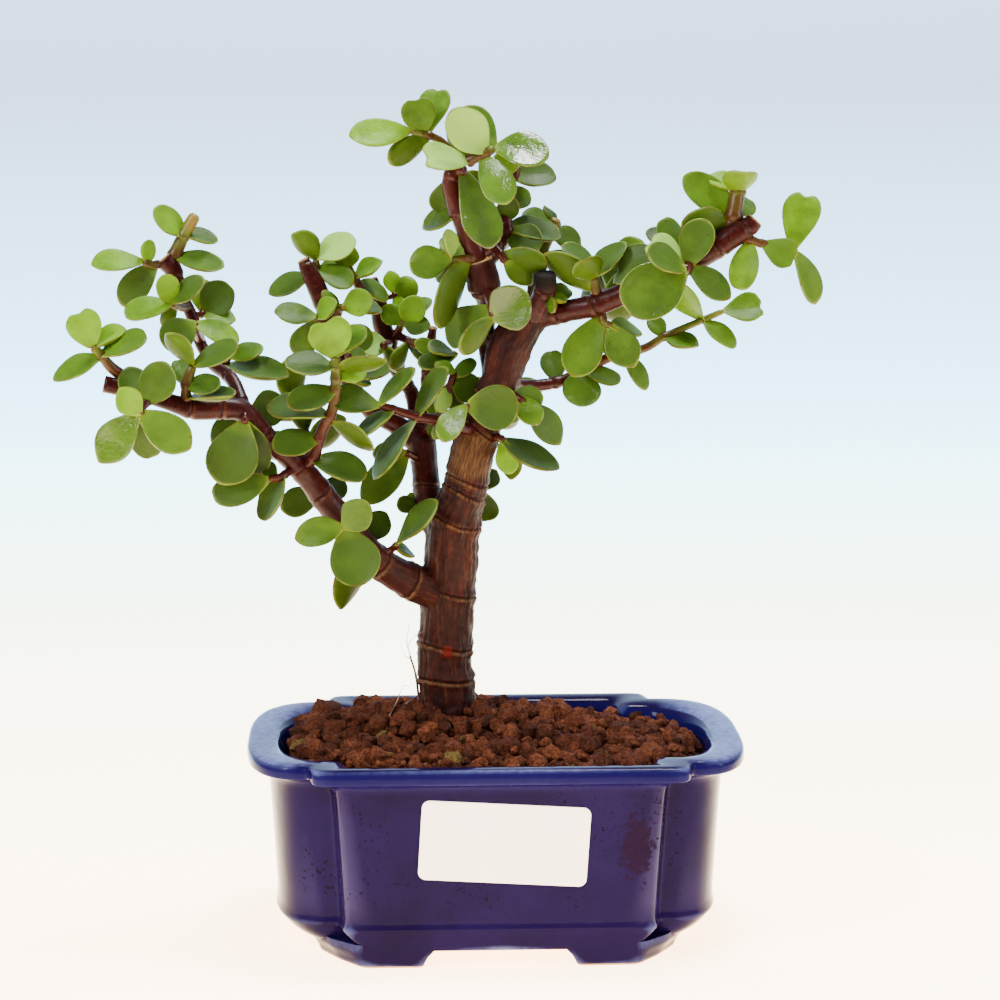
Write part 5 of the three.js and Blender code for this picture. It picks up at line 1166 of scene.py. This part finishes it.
        "m -102 4 206 -113 4 194 -0.12 -0.99 0.11 10 0.1 0.02",
    ]),
    "shoot_left_mid_front": ("o", 2.8, 2.1, [(-93, 5, 193), (-94, 2, 193), (-96, -3, 194),
                                             (-97, -6, 195)], [
        "y -97 -6 195 -99 -9 204 0.35 -0.91 -0.23 7.8 0.03 0.18",
        "b -97 -6 195 -111 -10 192 0.04 -0.7 0.72 9.2 0.04 0.13",
        "m -97 -6 195 -87 -10 203 -0.61 -0.65 0.44 7.8 0.05 0.07",
        "m -96.1 -3.2 194.1 -100.1 -0.2 188.1 0.04 0.9 0.43 4.7 0.1 0.02",
    ]),
    "shoot_left_mid_back": ("r", 2.8, 2.2, [(-92, 6, 191), (-91, 10, 190), (-89, 13, 190),
                                            (-89, 14, 191)], [
        "m -89 13.8 190.8 -80 15.8 198.8 0.05 -0.98 0.19 11 0.03 0.21",
        "b -89 12.9 190 -79 12.9 189 0.08 -0.57 0.82 8 0.11 0.01",
        "b -89 14 191 -89 18.4 200.5 0 -0.91 0.42 8.5 0.1 0.12",
    ]),
    "shoot_left_round": ("r", 3.1, 2.1, [(-89, 4, 183), (-90, -3, 187), (-90, -6, 189)], [
        "m -90 -6 189 -100 -9 183 0.15 -0.96 0.24 11 0.03 0.02",
        "b -90 -5.6 188.7 -77 -5.6 183.7 0.24 -0.73 0.64 9.2 0.09 0.11",
    ]),
    "shoot_left_low_pale": ("r", 2.8, 2.1, [(-85, 1, 176), (-82, 6, 175), (-81, 4, 177), (-80, 3, 178)], [
        "b -80 3 178 -70 4 181 -0.17 -0.61 0.78 8.4 0.03 0.04",
        "m -81.7 5.4 175.6 -62.7 -2.6 172.6 -0.01 -0.37 0.93 12.1 0.06 0.21",
    ]),
    "shoot_left_upright": ("o", 3.3, 3, [(-92, -22, 167), (-92, -23, 172), (-90, -23, 178)], [
        "b -90 -23 178 -97 -25 188 0.54 0.67 0.51 9.9 0.03 0.07",
        "m -90 -23 178 -76 -26 185 -0.45 -0.65 0.62 9.2 0.04 0.09",
        "m -91.8 -23 172.6 -81.8 -28 172.6 -0.3 -0.6 0.74 8.9 0.06 0.04",
        "d -92 -22.3 168.6 -77.5 -30.8 171.1 -0.25 -0.13 0.96 9.8 0.12 0.17",
        "m -92 -23 172 -95 -17 180 -0.02 -0.8 0.6 6.1 0.12 0.09",
    ]),
    "shoot_left_end": ("m", 4.2, 2.7, [(-110, -24, 172), (-110, -22, 174), (-114, -24, 178),
                                       (-117, -25, 182), (-119, -25, 184)], [
        "yn -119 -25 184 -123 -28 195 0.14 -0.97 -0.21 11 0.03 0.1",
        "y -118.5 -25 183.5 -110.5 -21 190.5 -0.37 -0.56 0.74 8 0.11 0.19",
        "b -116.6 -24.9 181.5 -103.6 -28.9 188.5 -0.53 -0.44 0.73 12.2 0.11 0.09",
        "b -116.2 -24.7 180.9 -131.2 -26.7 175.9 -0.18 -0.59 0.79 9.2 0.13 0.1",
    ]),
    "shoot_left_end_low": ("r", 2.7, 2.1, [(-102, -24, 169), (-102, -29, 169), (-104, -32, 167),
                                           (-105, -34, 165)], [
        "m -103.2 -30.8 167.8 -97.2 -31.8 179.8 -0.09 -0.99 -0.04 11 0.03 0.13",
        "m -104.6 -33.3 165.7 -108.6 -25.3 178.7 0.07 -0.84 0.54 9.2 0.09 0.07",
        "y -105 -34 165 -110 -38 173 0.34 -0.91 -0.24 8 0.07 0.14",
        "g -104.8 -33.5 165.5 -90.8 -35.5 155.5 0.02 -0.97 0.23 12 0.03 0.03",
        "g -104.8 -33.5 165.5 -116.8 -32.5 151.5 -0.16 -0.99 0.07 11 0.05 0.06",
        "m -104.9 -33.8 165.2 -101.9 -27.8 151.2 0.14 -0.92 -0.36 9.5 0.04 0.09",
        "o -104.8 -33.5 165.5 -105.9 -22.8 154.7 0.91 -0.25 -0.34 8.9 0.11 0.03",
    ]),
    "shoot_back_apex": ("m", 4, 2, [(-3, 1, 199), (-4, 8, 204), (-5, 15, 213), (-4, 20, 223)], [
        "d -4.3 10.4 207 -16.2 16 209.8 0.4 0.46 0.79 8.9 0.03 0.16",
        "d -4.3 10.4 207 8.2 13 215.6 -0.53 0.6 0.59 11.3 0.06 0.18",
        "m -4.9 14.2 212 -4.4 9.2 224.5 -0.12 0.92 0.37 9.3 0.12 0.19",
        "m -4.9 14.2 212 -6.7 28.7 210.5 -0.03 0.1 0.99 10.5 0.04 0.18",
        "m -4.6 17.2 217.4 -17.2 22.4 224.3 0.55 0.32 0.77 10.2 0.12 0.04",
        "m -4.6 17.2 217.4 7.1 17.7 221.3 -0.3 0.47 0.83 9.1 0.08 0.2",
        "b -4 20 223 -5 12.9 234.5 0.15 0.83 0.53 9.5 0.09 0.04",
        "y -4 20 223 -1.5 34.8 225 0 -0.13 0.99 10.4 0.03 0.1",
    ]),
    "shoot_back_right": ("m", 4, 2, [(30, -5, 195), (33, 3, 196), (37, 12, 198), (41, 20, 200)], [
        "d 34 5.3 196.5 27.9 14.5 194.2 0.75 0.57 0.34 8.3 0.03 0.19",
        "m 34 5.3 196.5 45.3 6.9 201.4 -0.14 0.99 -0.02 8.4 0.04 0.06",
        "m 36.2 10.2 197.6 38.7 13.2 211.3 0.36 0.9 -0.26 11 0.07 0.01",
        "m 36.2 10.2 197.6 39.7 20.8 186.3 0.33 0.64 0.7 12.2 0.04 0.11",
        "m 38.6 15.1 198.8 31.8 25.1 198 0.79 0.55 0.28 8.3 0.09 0.03",
        "b 38.6 15.1 198.8 53.2 14.5 202.8 0.01 0.99 0.12 11.3 0.12 0.1",
        "b 41 20 200 44.9 22.3 213.1 0.34 0.9 -0.26 10.1 0.08 0.05",
        "y 41 20 200 42.9 28.4 191.9 0.41 0.58 0.7 7.8 0.04 0.22",
    ]),
    "shoot_back_left": ("m", 4, 2, [(-57, -11, 144), (-56, -3, 149), (-58, 7, 155), (-62, 15, 162)], [
        "d -56.6 0 150.8 -71.4 4.1 149.1 0.15 0.8 0.58 12.3 0.03 0.22",
        "m -56.6 0 150.8 -46.2 7 158.5 -0.66 0.7 0.26 11.2 0.12 0.16",
        "m -57.7 5.6 154.1 -60.3 4.1 165.6 -0.08 0.99 0.1 8.1 0.13 0.06",
        "m -57.7 5.6 154.1 -56.7 15.6 147.1 -0.22 0.58 0.79 8.6 0.05 0.04",
        "m -59.7 10.4 158 -71.4 6 164.5 -0.06 0.88 0.48 9.9 0.06 0.02",
        "b -59.7 10.4 158 -53.5 20.8 158.6 -0.66 0.35 0.67 8.8 0.06 0.21",
        "b -62 15 162 -61.6 12.2 176.8 -0.41 0.89 0.18 10.6 0.06 0.06",
        "y -62 15 162 -66.9 26.5 156.5 -0.21 0.35 0.91 9.4 0.04 0.11",
    ]),
    "shoot_back_middle": ("m", 4, 2, [(-6, 1, 150), (-2, 10, 154), (2, 19, 160), (4, 27, 168)], [
        "d -1 12.2 155.5 -9.1 24.4 155 0.66 0.46 0.6 10.5 0.03 0.03",
        "m -1 12.2 155.5 9.2 11.6 161.8 -0.12 0.95 0.29 8.6 0.09 0.04",
        "m 1.3 17.5 159 1.6 15.3 173.2 0.37 0.92 0.13 10.6 0.08 0.11",
        "m 1.3 17.5 159 5.2 28.6 152.2 0.24 0.44 0.86 10.4 0.05 0.19",
        "m 2.8 22.3 163.3 -5.7 27.6 168.5 0.66 0.53 0.54 8.1 0.12 0",
        "b 2.8 22.3 163.3 16.1 25.2 166.5 -0.31 0.68 0.67 9.8 0.1 0.1",
        "b 4 27 168 0.1 25 178.5 0.37 0.88 0.31 7.8 0.04 0.06",
        "y 4 27 168 11.8 39.2 162.7 -0.03 0.41 0.91 11 0.05 0.01",
    ]),
}

# How green a stem is at its foot and its tip: r burgundy, m burgundy turning olive, o olive,
# t tan.
STEM_LOOKS = {"r": (0.0, 0.4), "m": (0.1, 0.95), "o": (0.55, 0.8), "t": (0.6, 1.1)}

# Colour from dark to yellow-green, and bloom on the upper face. A second letter n marks a leaf
# with a notched tip.
# the d leaves' darker colour is partly painted shade
LEAF_LOOKS = {"y": (1.0, 0.0), "b": (0.8, 0.05), "m": (0.53, 0.1), "d": (0.38, 0.03),
              "p": (0.62, 1.0), "g": (0.74, 0.12), "o": (0.5, 0.1)}

BASE_SUNK = 0.7  # of a leaf's base in its stem, in mm
BROADEST = 0.68  # how far up a leaf its widest place can be, as a share of its length
HALF_EDGE = 17  # places on one side of a leaf's outline, of 32 in all

# The leaf blank: a sphere whose equator becomes the leaf's edge and whose poles its two faces.
bpy.ops.mesh.primitive_uv_sphere_add(segments=32, ring_count=12, radius=1)
leaf_blank = bpy.context.object
blank = np.array([vertex.co for vertex in leaf_blank.data.vertices])
blank_turn = np.arctan2(blank[:, 1], blank[:, 0])
blank_out = np.clip(np.hypot(blank[:, 0], blank[:, 1]), 0, 1)
blank_side = blank[:, 2]


def leaf_outline(widest, notch):
    """The edge of a spoon-shaped leaf as (share of length, share of width) round 32 places."""
    run = np.linspace(0, 1, 200)
    half = np.where(run < widest, 0.06 + 0.44 * np.sin(np.pi / 2 * np.minimum(run / widest, 1)) ** 1.1,
                    0.5 * np.sqrt(np.clip(1 - ((run - widest) / (1 - widest)) ** 2, 0, 1)))
    side = spaced(np.stack([run, half], 1), HALF_EDGE)
    side[:, 0] -= notch * np.exp(-(side[:, 1] / 0.17) ** 2) * (side[:, 0] > 0.5)
    return np.concatenate([side[::-1], side[1:-1] * [1, -1]])


def grow_leaf(row, draw):
    """One leaf: the blank drawn out to its outline, thickened, folded, bowed and put in place."""
    letter, *numbers = row.split()
    numbers = np.array([float(n) for n in numbers])
    root, tip, face = numbers[0:3], numbers[3:6], numbers[6:9]
    root = root - BASE_SUNK * (tip - root) / np.linalg.norm(tip - root)
    width, bow, fold = numbers[9:12]
    length = np.linalg.norm(tip - root)
    along = (tip - root) / length
    face = face - along * (face @ along)
    face /= np.linalg.norm(face)
    side = np.cross(along, face)
    heart = "n" in letter
    widest = BROADEST
    if not heart:
        widest = np.clip(0.74 - 0.22 * width / length + draw.uniform(-0.06, 0.04), 0.48, BROADEST)
    outline = leaf_outline(widest, draw.uniform(0.06, 0.12) if heart else draw.uniform(-0.05, 0.03))
    place = (blank_turn / (2 * np.pi)) % 1 * 32
    lower = place.astype(int) % 32
    part = (place - place.astype(int))[:, None]
    edge = outline[lower] * (1 - part) + outline[(lower + 1) % 32] * part
    u = 0.5 + (edge[:, 0] - 0.5) * blank_out
    v = edge[:, 1] * blank_out
    even = np.linspace(0, 1, 33)
    half = np.interp(u, even, np.interp(even, outline[:HALF_EDGE, 0][::-1], outline[:HALF_EDGE, 1][::-1]))
    across = np.clip(np.abs(v) / np.maximum(half, 0.02), 0, 1)
    body = 0.45 + 0.55 * np.minimum(1, 2 * half)
    # the middle of the leaf stands 0.8 mm out above and 1.35 mm below
    thick = np.where(blank_side > 0, 0.8, 1.35) * body * draw.uniform(0.88, 1.08)
    rise = np.sign(blank_side) * thick * np.abs(blank_side) ** 0.75
    # the sides fold up, a groove runs along the midrib, the tip curls and the edges ripple
    lift = (fold + 0.1) * half * width * across ** 2.2
    groove = (0.1 * np.exp(-(across / 0.3) ** 2) * np.sin(np.pi * np.clip(u * 1.15, 0, 1))
              * np.sign(blank_side))
    curl = draw.uniform(-0.02, 0.07) * length * (np.clip(u - 0.62, 0, 1) / 0.38) ** 2
    wave = draw.uniform(0, 6.28)
    ripple = 0.035 * width * across ** 2 * np.sin(6.0 * u + wave + 2.2 * np.sign(v))
    twist = math.radians(draw.uniform(-9, 9)) * (u - 0.3)
    sideways = v * width * (1 + 0.05 * np.sin(5 * u + wave * 2))
    up = rise + lift + ripple - groove * (1 - across) + curl
    sideways, up = (sideways * np.cos(twist) - up * np.sin(twist),
                    sideways * np.sin(twist) + up * np.cos(twist))
    sway = draw.uniform(-0.035, 0.035) * length * np.sin(np.pi * u)
    points = (root + np.outer(u * length, along) + np.outer(sideways + sway, side)
              + np.outer(up - bow * length * u ** 2, face))
    leaf = leaf_blank.copy()
    leaf.data = leaf_blank.data.copy()
    leaf.data.vertices.foreach_set("co", points.astype(np.float32).ravel())
    bpy.context.scene.collection.objects.link(leaf)
    tone, bloom = LEAF_LOOKS[letter[0]]
    # small young leaves are brighter than large old ones
    tone = min(1, max(0, tone + 0.03 * (10 - width) + draw.uniform(-0.08, 0.08)))
    look = np.tile(np.array([tone, bloom, 0, draw.uniform(0, 1)]), (len(points), 1))
    rim = (1 - blank_out) * np.maximum(half, 0.1) * width
    store(leaf, "look", look)
    store(leaf, "spot", np.stack([u, rim, blank_side], 1))
    fan = [np.arctan2(v, u + 0.25) * 30, u * 3.5, np.full(len(u), draw.uniform(0, 90))]
    store(leaf, "fan", np.stack(fan, 1))
    return leaf


def grow_stem(name, ripeness, foot, tip, course, nodes, draw):
    """A round young stem with a swollen ring at each node."""
    line = smooth_line(course, 0.55)
    run = run_along(line)
    share = run / run[-1]
    radius = (foot + (tip - foot) * share) / 2
    for node in nodes:
        from_node = run - node * run[-1]
        radius = radius * (1 + 0.13 * np.exp(-(from_node / 0.9) ** 2)
                           - 0.06 * np.exp(-((from_node + 1.3) / 0.5) ** 2))
    # the growing tip is rounded off
    radius[-1] *= 0.55
    radius[-2] *= 0.85
    rings = sweep_rings(line, radius, 12)
    stem = tube_grid(name, rings)
    points = np.array([vertex.co for vertex in stem.data.vertices])
    runs = run[np.argmin(np.linalg.norm(points[:, None] - line[None], axis=2), axis=1)]
    green = ripeness[0] + (ripeness[1] - ripeness[0]) * runs / run[-1]
    to_node = np.min(np.abs(runs[:, None] - np.array(nodes)[None] * run[-1]), axis=1)
    store(stem, "look", np.stack([green, to_node, 0 * runs, 0 * runs + 1], 1))
    store(stem, "spot", np.zeros((len(points), 3)))
    store(stem, "fan", np.zeros((len(points), 3)))
    return stem


# Leaf: a thick waxy skin over wet green flesh. Light sinks in a little and comes out yellow; the
# rim is a thin pale line, brown in places; old faces carry a dull bloom; wet ones mirror the lamp.


def leaf_skin(name, mirror, roughness, waves):
    """The skin of the leaves, from satin to wet."""
    made, tree, shader = material(name)
    where = add(tree, "TexCoord", out="Object")
    look = add(tree, "Attribute", out="Color", attribute_name="look")
    tone, bloom = add(tree, "SeparateColor", (look,)).node.outputs[:2]
    spot = add(tree, "Attribute", out="Vector", attribute_name="spot")
    u, rim, side = add(tree, "SeparateXYZ", (spot,)).node.outputs
    cloud = add(tree, "TexNoise", {"Vector": where, "Scale": 150.0, "Detail": 4.0, "Roughness": 0.55})
    fine = add(tree, "TexNoise", {"Vector": where, "Scale": 1500.0, "Detail": 2.0})
    varied = add(tree, "Math", (cloud, 0.5, tone), operation="MULTIPLY_ADD")
    varied = add(tree, "Math", (varied, 0.25), operation="SUBTRACT")
    green = add(tree, "ValToRGB", (varied,), stops=[(0.0, "#0E1704"), (0.3, "#142004"),
                                                    (0.55, "#1C2E04"), (0.8, "#344F05"),
                                                    (1.0, "#507407")])
    upper = add(tree, "MapRange", (side, -0.1, 0.35))
    lower = add(tree, "MapRange", {"Value": upper, "To Min": 0.45, "To Max": 0.0})
    flesh = add(tree, "Mix", {0: lower, 6: green, 7: linear("#3A4E0E")}, 2, data_type="RGBA")
    dust = add(tree, "Math", (bloom, upper), operation="MULTIPLY")
    dust = add(tree, "MapRange", {"Value": dust, "To Max": 0.72})
    flesh = add(tree, "Mix", {0: dust, 6: flesh, 7: linear("#7EA648")}, 2, data_type="RGBA")
    base = add(tree, "MapRange", (u, 0.02, 0.28, 0.6, 0.0))
    flesh = add(tree, "Mix", {0: base, 6: flesh, 7: linear("#526A14")}, 2, data_type="RGBA")
    edge = add(tree, "MapRange", (rim, 0.05, 0.32, 0.32, 0.0))
    brown = add(tree, "MapRange", (cloud, 0.45, 0.56))
    edge_tint = add(tree, "Mix", {0: brown, 6: linear("#7E8C3A"), 7: linear("#5A3418")}, 2,
                    data_type="RGBA")
    flesh = add(tree, "Mix", {0: edge, 6: flesh, 7: edge_tint}, 2, data_type="RGBA")
    specks = add(tree, "TexVoronoi", {"Vector": where, "Scale": 260.0})
    speck = add(tree, "MapRange", (specks, 0.05, 0.08, 0.8, 0.0))
    flesh = add(tree, "Mix", {0: speck, 6: flesh, 7: linear("#1E1C0A")}, 2, data_type="RGBA")
    gloss = add(tree, "Math", (cloud, 0.12, roughness), operation="MULTIPLY_ADD")
    gloss = add(tree, "Math", (dust, 0.25, gloss), operation="MULTIPLY_ADD")
    fan = add(tree, "Attribute", out="Vector", attribute_name="fan")
    veins = add(tree, "TexNoise", {"Vector": fan, "Scale": 1.0, "Detail": 3.0, "Roughness": 0.6})
    creased = add(tree, "MapRange", (bloom, 0.0, 1.0, 0.12, 0.5))
    wavy = add(tree, "Math", (fine, 0.1, cloud), operation="MULTIPLY_ADD")
    wavy = add(tree, "Math", (veins, creased, wavy), operation="MULTIPLY_ADD")
    relief = add(tree, "Bump", {"Height": wavy, "Strength": waves, "Distance": 0.0009})
    feed(shader, {"Base Color": flesh, "Specular IOR Level": mirror, "Subsurface Weight": 0.1,
                  "Subsurface Radius": (0.4, 0.7, 0.1), "Subsurface Scale": 0.0016, "Roughness": gloss,
                  "Normal": relief})
    return made


satin_leaf = leaf_skin("fleshy_leaf_satin", 0.06, 0.32, 0.5)
wet_leaf = leaf_skin("fleshy_leaf_wet", 0.27, 0.03, 0.65)

# Young stem: smooth burgundy skin with a satin shine that turns olive and tan towards the growing
# tip, with a brown ring at each node.
stem_skin, tree, shader = material("young_stem_satin")
where = add(tree, "TexCoord", out="Object")
look = add(tree, "Attribute", out="Color", attribute_name="look")
ripeness, from_node = add(tree, "SeparateColor", (look,)).node.outputs[:2]
cloud = add(tree, "TexNoise", {"Vector": where, "Scale": 260.0, "Detail": 4.0})
mixed = add(tree, "Math", (cloud, 0.5, ripeness), operation="MULTIPLY_ADD")
mixed = add(tree, "Math", (mixed, 0.25), operation="SUBTRACT")
stem_tint = add(tree, "ValToRGB", (mixed,), stops=[(0.0, "#240605"), (0.3, "#2C0A06"), (0.5, "#361907"),
                                                   (0.68, "#36290A"), (0.84, "#3C4410"),
                                                   (0.95, "#4A5014"), (1.0, "#5E4E1C")])
ring = add(tree, "MapRange", (from_node, 0.2, 0.55, 0.5, 0.0))
stem_colour = add(tree, "Mix", {0: ring, 6: stem_tint, 7: linear("#2E0C08")}, 2, data_type="RGBA")
relief = add(tree, "Bump", {"Height": cloud, "Strength": 0.4, "Distance": 0.0004})
feed(shader, {"Base Color": stem_colour, "Roughness": 0.34, "Specular IOR Level": 0.14,
              "Normal": relief})

PLACES = 200  # along a stem, to find the node nearest to a leaf's root
for number, (name, (stem_letter, foot, tip, course, rows)) in enumerate(SHOOTS.items()):
    draw = random.Random(900 + number)
    roots = np.array([[float(n) for n in row.split()[1:4]] for row in rows])
    dense = spaced(course, PLACES)
    nodes = sorted({round(float(np.argmin(np.linalg.norm(dense - root, axis=1)) / (PLACES - 1)), 2)
                    for root in roots})
    parts = [grow_stem(name + "_grown", STEM_LOOKS[stem_letter], foot, tip, course, nodes, draw)]
    coat(parts[0], stem_skin)
    for row in rows:
        parts.append(grow_leaf(row, draw))
        coat(parts[-1], wet_leaf if row[0] == "g" else satin_leaf)
    piece = settle(joined(parts))
    bpy.ops.object.shade_smooth()
    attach(piece, "root")
    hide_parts(name)
bpy.data.objects.remove(leaf_blank)
